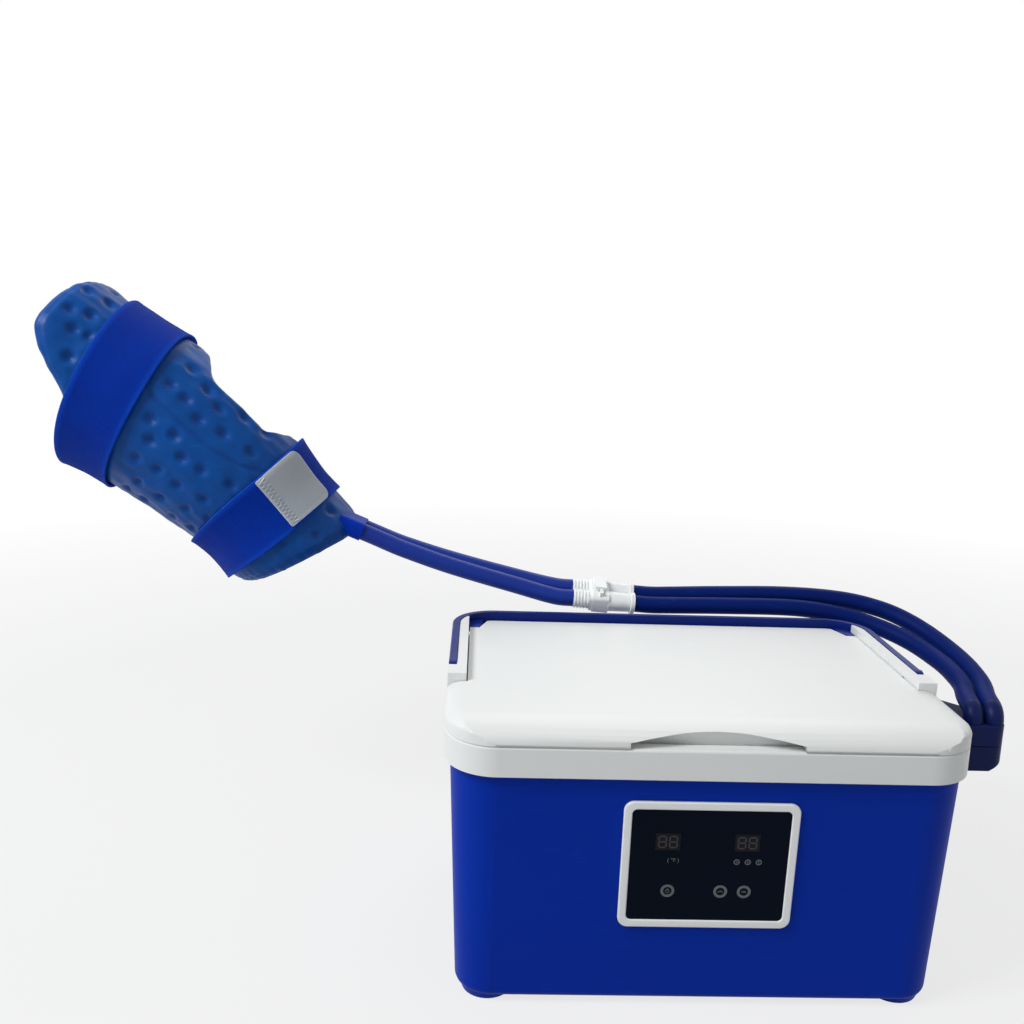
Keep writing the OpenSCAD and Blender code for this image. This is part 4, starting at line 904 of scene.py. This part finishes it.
def addHoop(bm, x, y, hoop):
    loops, full = [], hoop["radius"]
    low = full - couplingSet["step"]
    for away, radius in ((-0.5, low), (-0.3, full), (0.3, full), (0.5, low)):
        place = (Matrix.Translation((x + away * hoop["wide"], y, 0))
                 @ Matrix.Rotation(math.radians(90), 4, "Y"))
        verts = bmesh.ops.create_circle(bm, segments=40, radius=radius, matrix=place)["verts"]
        loops.append({edge for vert in verts for edge in vert.link_edges})
    for a, b in zip(loops, loops[1:] + loops[:1]):
        bmesh.ops.bridge_loops(bm, edges=list(a | b))


def buildHoops(name, hoop):
    bm = bmesh.new()
    for x in hoop["places"]:
        for side in (-1, 1):
            addHoop(bm, x, side * couplingSet["half"], hoop)
    bmesh.ops.transform(bm, matrix=couplingPlane, verts=bm.verts)
    placePiece(name, closeMesh(bm, name), paints["couplingMoulding"], hoop["body"],
               (), 50)


# Mouldings whose edges show: a merged copy of the CAD node, its picked edges rounded
merging = {"reach": 0.000002, "flat": 0.6, "corner": 34}
roundedParts = {
    "bezelFrame": {"node": "panel_bezel", "finish": "bezelMoulding", "body": "cooler",
                   "slot": "white_plastic", "width": 0.0010, "smooth": 40,
                   "picks": lambda place: (panelPlane.inverted() @ place).z > 0.0020},
    "lidCover": {"node": "lid_shell", "finish": "whiteMoulding", "body": "lid",
                 "slot": "white_plastic", "width": 0, "smooth": 28},
    "outletCap": {"node": "outlet_upper_shell", "finish": "navyMoulding", "body": "cooler",
                  "slot": "navy_plastic", "width": 0.0016, "smooth": 40,
                  "picks": lambda place: place.x > 0.215 and abs(place.y + 0.00575) > 0.0085},
    "outletTray": {"node": "outlet_lower_shell", "finish": "navyMoulding", "body": "cooler",
                   "slot": "navy_plastic", "width": 0.0008, "smooth": 40,
                   "picks": lambda place: place.x > 0.215},
}


def roundPart(name, part):
    bm = bmesh.new()
    bm.from_mesh(cadNodes[part["node"]].data)
    bmesh.ops.remove_doubles(bm, verts=bm.verts, dist=merging["reach"])
    bmesh.ops.dissolve_limit(bm, angle_limit=math.radians(merging["flat"]), verts=bm.verts,
                             edges=bm.edges)
    if part["width"]:
        picked = [edge for edge in bm.edges
                  if len(edge.link_faces) == 2 and edge.is_convex
                  and edge.calc_face_angle() > math.radians(merging["corner"])
                  and part["picks"]((edge.verts[0].co + edge.verts[1].co) / 2)]
        bmesh.ops.bevel(bm, geom=picked, offset=part["width"], offset_type="OFFSET",
                        affect="EDGES", segments=3, profile=0.5, material=-1,
                        clamp_overlap=False)
    bmesh.ops.triangulate(bm, faces=bm.faces)
    piece = placePiece(name, closeMesh(bm, name), paints[part["finish"]], part["body"],
                       [part["node"]], part["smooth"])
    evened = piece.modifiers.new("evened", "WEIGHTED_NORMAL")
    evened.keep_sharp = True


for partName, part in roundedParts.items():
    roundPart(partName, part)
for hoopName, hoop in couplingSet["hoops"].items():
    buildHoops(hoopName, hoop)
print("moulded edges rounded:", len(roundedParts))

digits = bmesh.new()
for displayX in panelMarks["displays"]:
    for side in (-0.5, 0.5):
        addDigit(digits, displayX + side * panelMarks["digitPitch"], panelMarks["displayUp"],
                 panelMarks["displayOut"])
placeMarks("displayDigits", digits, "unlitSegment", "cooler")

lampRings = bmesh.new()
for lampX in panelMarks["lamps"]:
    at = (lampX, panelMarks["lampUp"], panelMarks["displayOut"])
    addRing(lampRings, *at, *panelMarks["lampRing"])
    addBar(lampRings, *at, *panelMarks["lampBar"])
placeMarks("lampRings", lampRings, "printedGrey", "cooler")

for bodyName, keyX in panelMarks["keys"].items():
    keyMark = bmesh.new()
    keyY, keyOut = panelMarks["keyUp"], panelMarks["keyOut"]
    addRing(keyMark, keyX, keyY, keyOut, *panelMarks["keyRing"])
    if bodyName == "power_key":
        addRing(keyMark, keyX, keyY - 0.0002, keyOut, 0.0015, 0.0011)
        addBar(keyMark, keyX, keyY + 0.0010, keyOut, 0.0020, 0.0005)
    elif bodyName == "up_key":
        addBar(keyMark, keyX - 0.0008, keyY, keyOut, 0.0026, 0.0006, -55)
        addBar(keyMark, keyX + 0.0008, keyY, keyOut, 0.0026, 0.0006, 55)
    else:
        addBar(keyMark, keyX, keyY, keyOut, 0.0036, 0.0008, 90)
    placeMarks(bodyName.replace("_key", "") + "KeyMark", keyMark, "printedGrey", bodyName)


def buildUnitMark():
    curve = bpy.data.curves.new("unitText", "FONT")
    curve.body, curve.size = panelMarks["unit"], panelMarks["unitHigh"]
    curve.extrude = panelMarks["printed"] / 2
    curve.align_x, curve.align_y = "CENTER", "CENTER"
    mesh = meshFromCurve(curve)
    mesh.transform(panelPlane @ Matrix.Translation(
        (panelMarks["unitAcross"], panelMarks["unitUp"], panelMarks["faceOut"] + curve.extrude)))
    mesh.materials.clear()
    return mesh


placePiece("unitMark", buildUnitMark(), paints["printedGrey"], "cooler", (), 30)
print("panel marks printed")


# Floor, lamps and a white surround that lenses and shiny parts see as well
studio = {"floor": (196, 198, 199), "ambient": 0.3, "seenWhite": 1.0, "shadowShare": 0.24,
          "fadeFrom": 0.9, "fadeTo": 1.9}


def whiteRays(tree):
    path = addNode(tree, "LightPath")
    total = path.outputs["Is Camera Ray"]
    for label in ("Is Glossy Ray", "Is Transmission Ray"):
        both = addNode(tree, "Math", {"operation": "MAXIMUM"})
        tree.links.new(total, both.inputs[0])
        tree.links.new(path.outputs[label], both.inputs[1])
        total = both.outputs["Value"]
    return total


def makeFloor():
    bm = bmesh.new()
    bmesh.ops.create_grid(bm, x_segments=4, y_segments=4, size=14)
    floor = bpy.data.objects.new("studioFloor", closeMesh(bm, "studioFloor"))
    scene.collection.objects.link(floor)
    material = bpy.data.materials.new("palePaper")
    material.use_nodes = True
    tree = material.node_tree
    shader = tree.nodes["Principled BSDF"]
    shader.inputs["Base Color"].default_value = tint(*studio["floor"])
    shader.inputs["Roughness"].default_value = 0.9
    shader.inputs["Specular IOR Level"].default_value = 0.1
    glow = addNode(tree, "Emission", None,
                   {"Color": (1, 1, 1, 1), "Strength": studio["seenWhite"]})
    blend = addNode(tree, "MixShader")
    place = addNode(tree, "TexCoord")
    far = addNode(tree, "VectorMath", {"operation": "LENGTH"})
    fade = addNode(tree, "MapRange", None,
                   {"From Min": studio["fadeFrom"], "From Max": studio["fadeTo"],
                    "To Min": 1 - studio["shadowShare"], "To Max": 1.0})
    part = addNode(tree, "Math", {"operation": "MULTIPLY"})
    join = tree.links.new
    join(place.outputs["Object"], far.inputs[0])
    join(far.outputs["Value"], fade.inputs["Value"])
    join(fade.outputs["Result"], part.inputs[1])
    join(whiteRays(tree), part.inputs[0])
    join(part.outputs["Value"], blend.inputs["Fac"])
    join(shader.outputs["BSDF"], blend.inputs[1])
    join(glow.outputs["Emission"], blend.inputs[2])
    join(blend.outputs["Shader"], tree.nodes["Material Output"].inputs["Surface"])
    floor.data.materials.append(material)


def makeSurround():
    world = bpy.data.worlds.new("whiteSurround")
    world.use_nodes = True
    scene.world = world
    tree = world.node_tree
    shine = tree.nodes["Background"]
    shine.inputs["Color"].default_value = (1, 1, 1, 1)
    steps = addNode(tree, "MapRange", None,
                    {"To Min": studio["ambient"], "To Max": studio["seenWhite"]})
    tree.links.new(whiteRays(tree), steps.inputs["Value"])
    tree.links.new(steps.outputs["Result"], shine.inputs["Strength"])


lamps = {
    "keyLamp": {"place": (-1.8, -0.8, 2.0), "aim": (-0.05, 0.05, 0.15), "power": 50, "size": 1.1},
    "fillLamp": {"place": (1.4, -1.6, 1.2), "aim": (0.0, 0.0, 0.15), "power": 1.5, "size": 1.6},
    "backLamp": {"place": (0.4, 1.6, 1.6), "aim": (0.0, 0.0, 0.2), "power": 9, "size": 1.4},
}


def makeLamp(name, lamp):
    data = bpy.data.lights.new(name, "AREA")
    data.energy, data.shape, data.size = lamp["power"], "DISK", lamp["size"]
    holder = bpy.data.objects.new(name, data)
    holder.location = lamp["place"]
    way = Vector(lamp["aim"]) - Vector(lamp["place"])
    holder.rotation_mode = "QUATERNION"
    holder.rotation_quaternion = way.to_track_quat("-Z", "Y")
    scene.collection.objects.link(holder)


makeFloor()
makeSurround()
for lampName, lamp in lamps.items():
    makeLamp(lampName, lamp)
scene.view_settings.view_transform = "Standard"
print("studio lit")
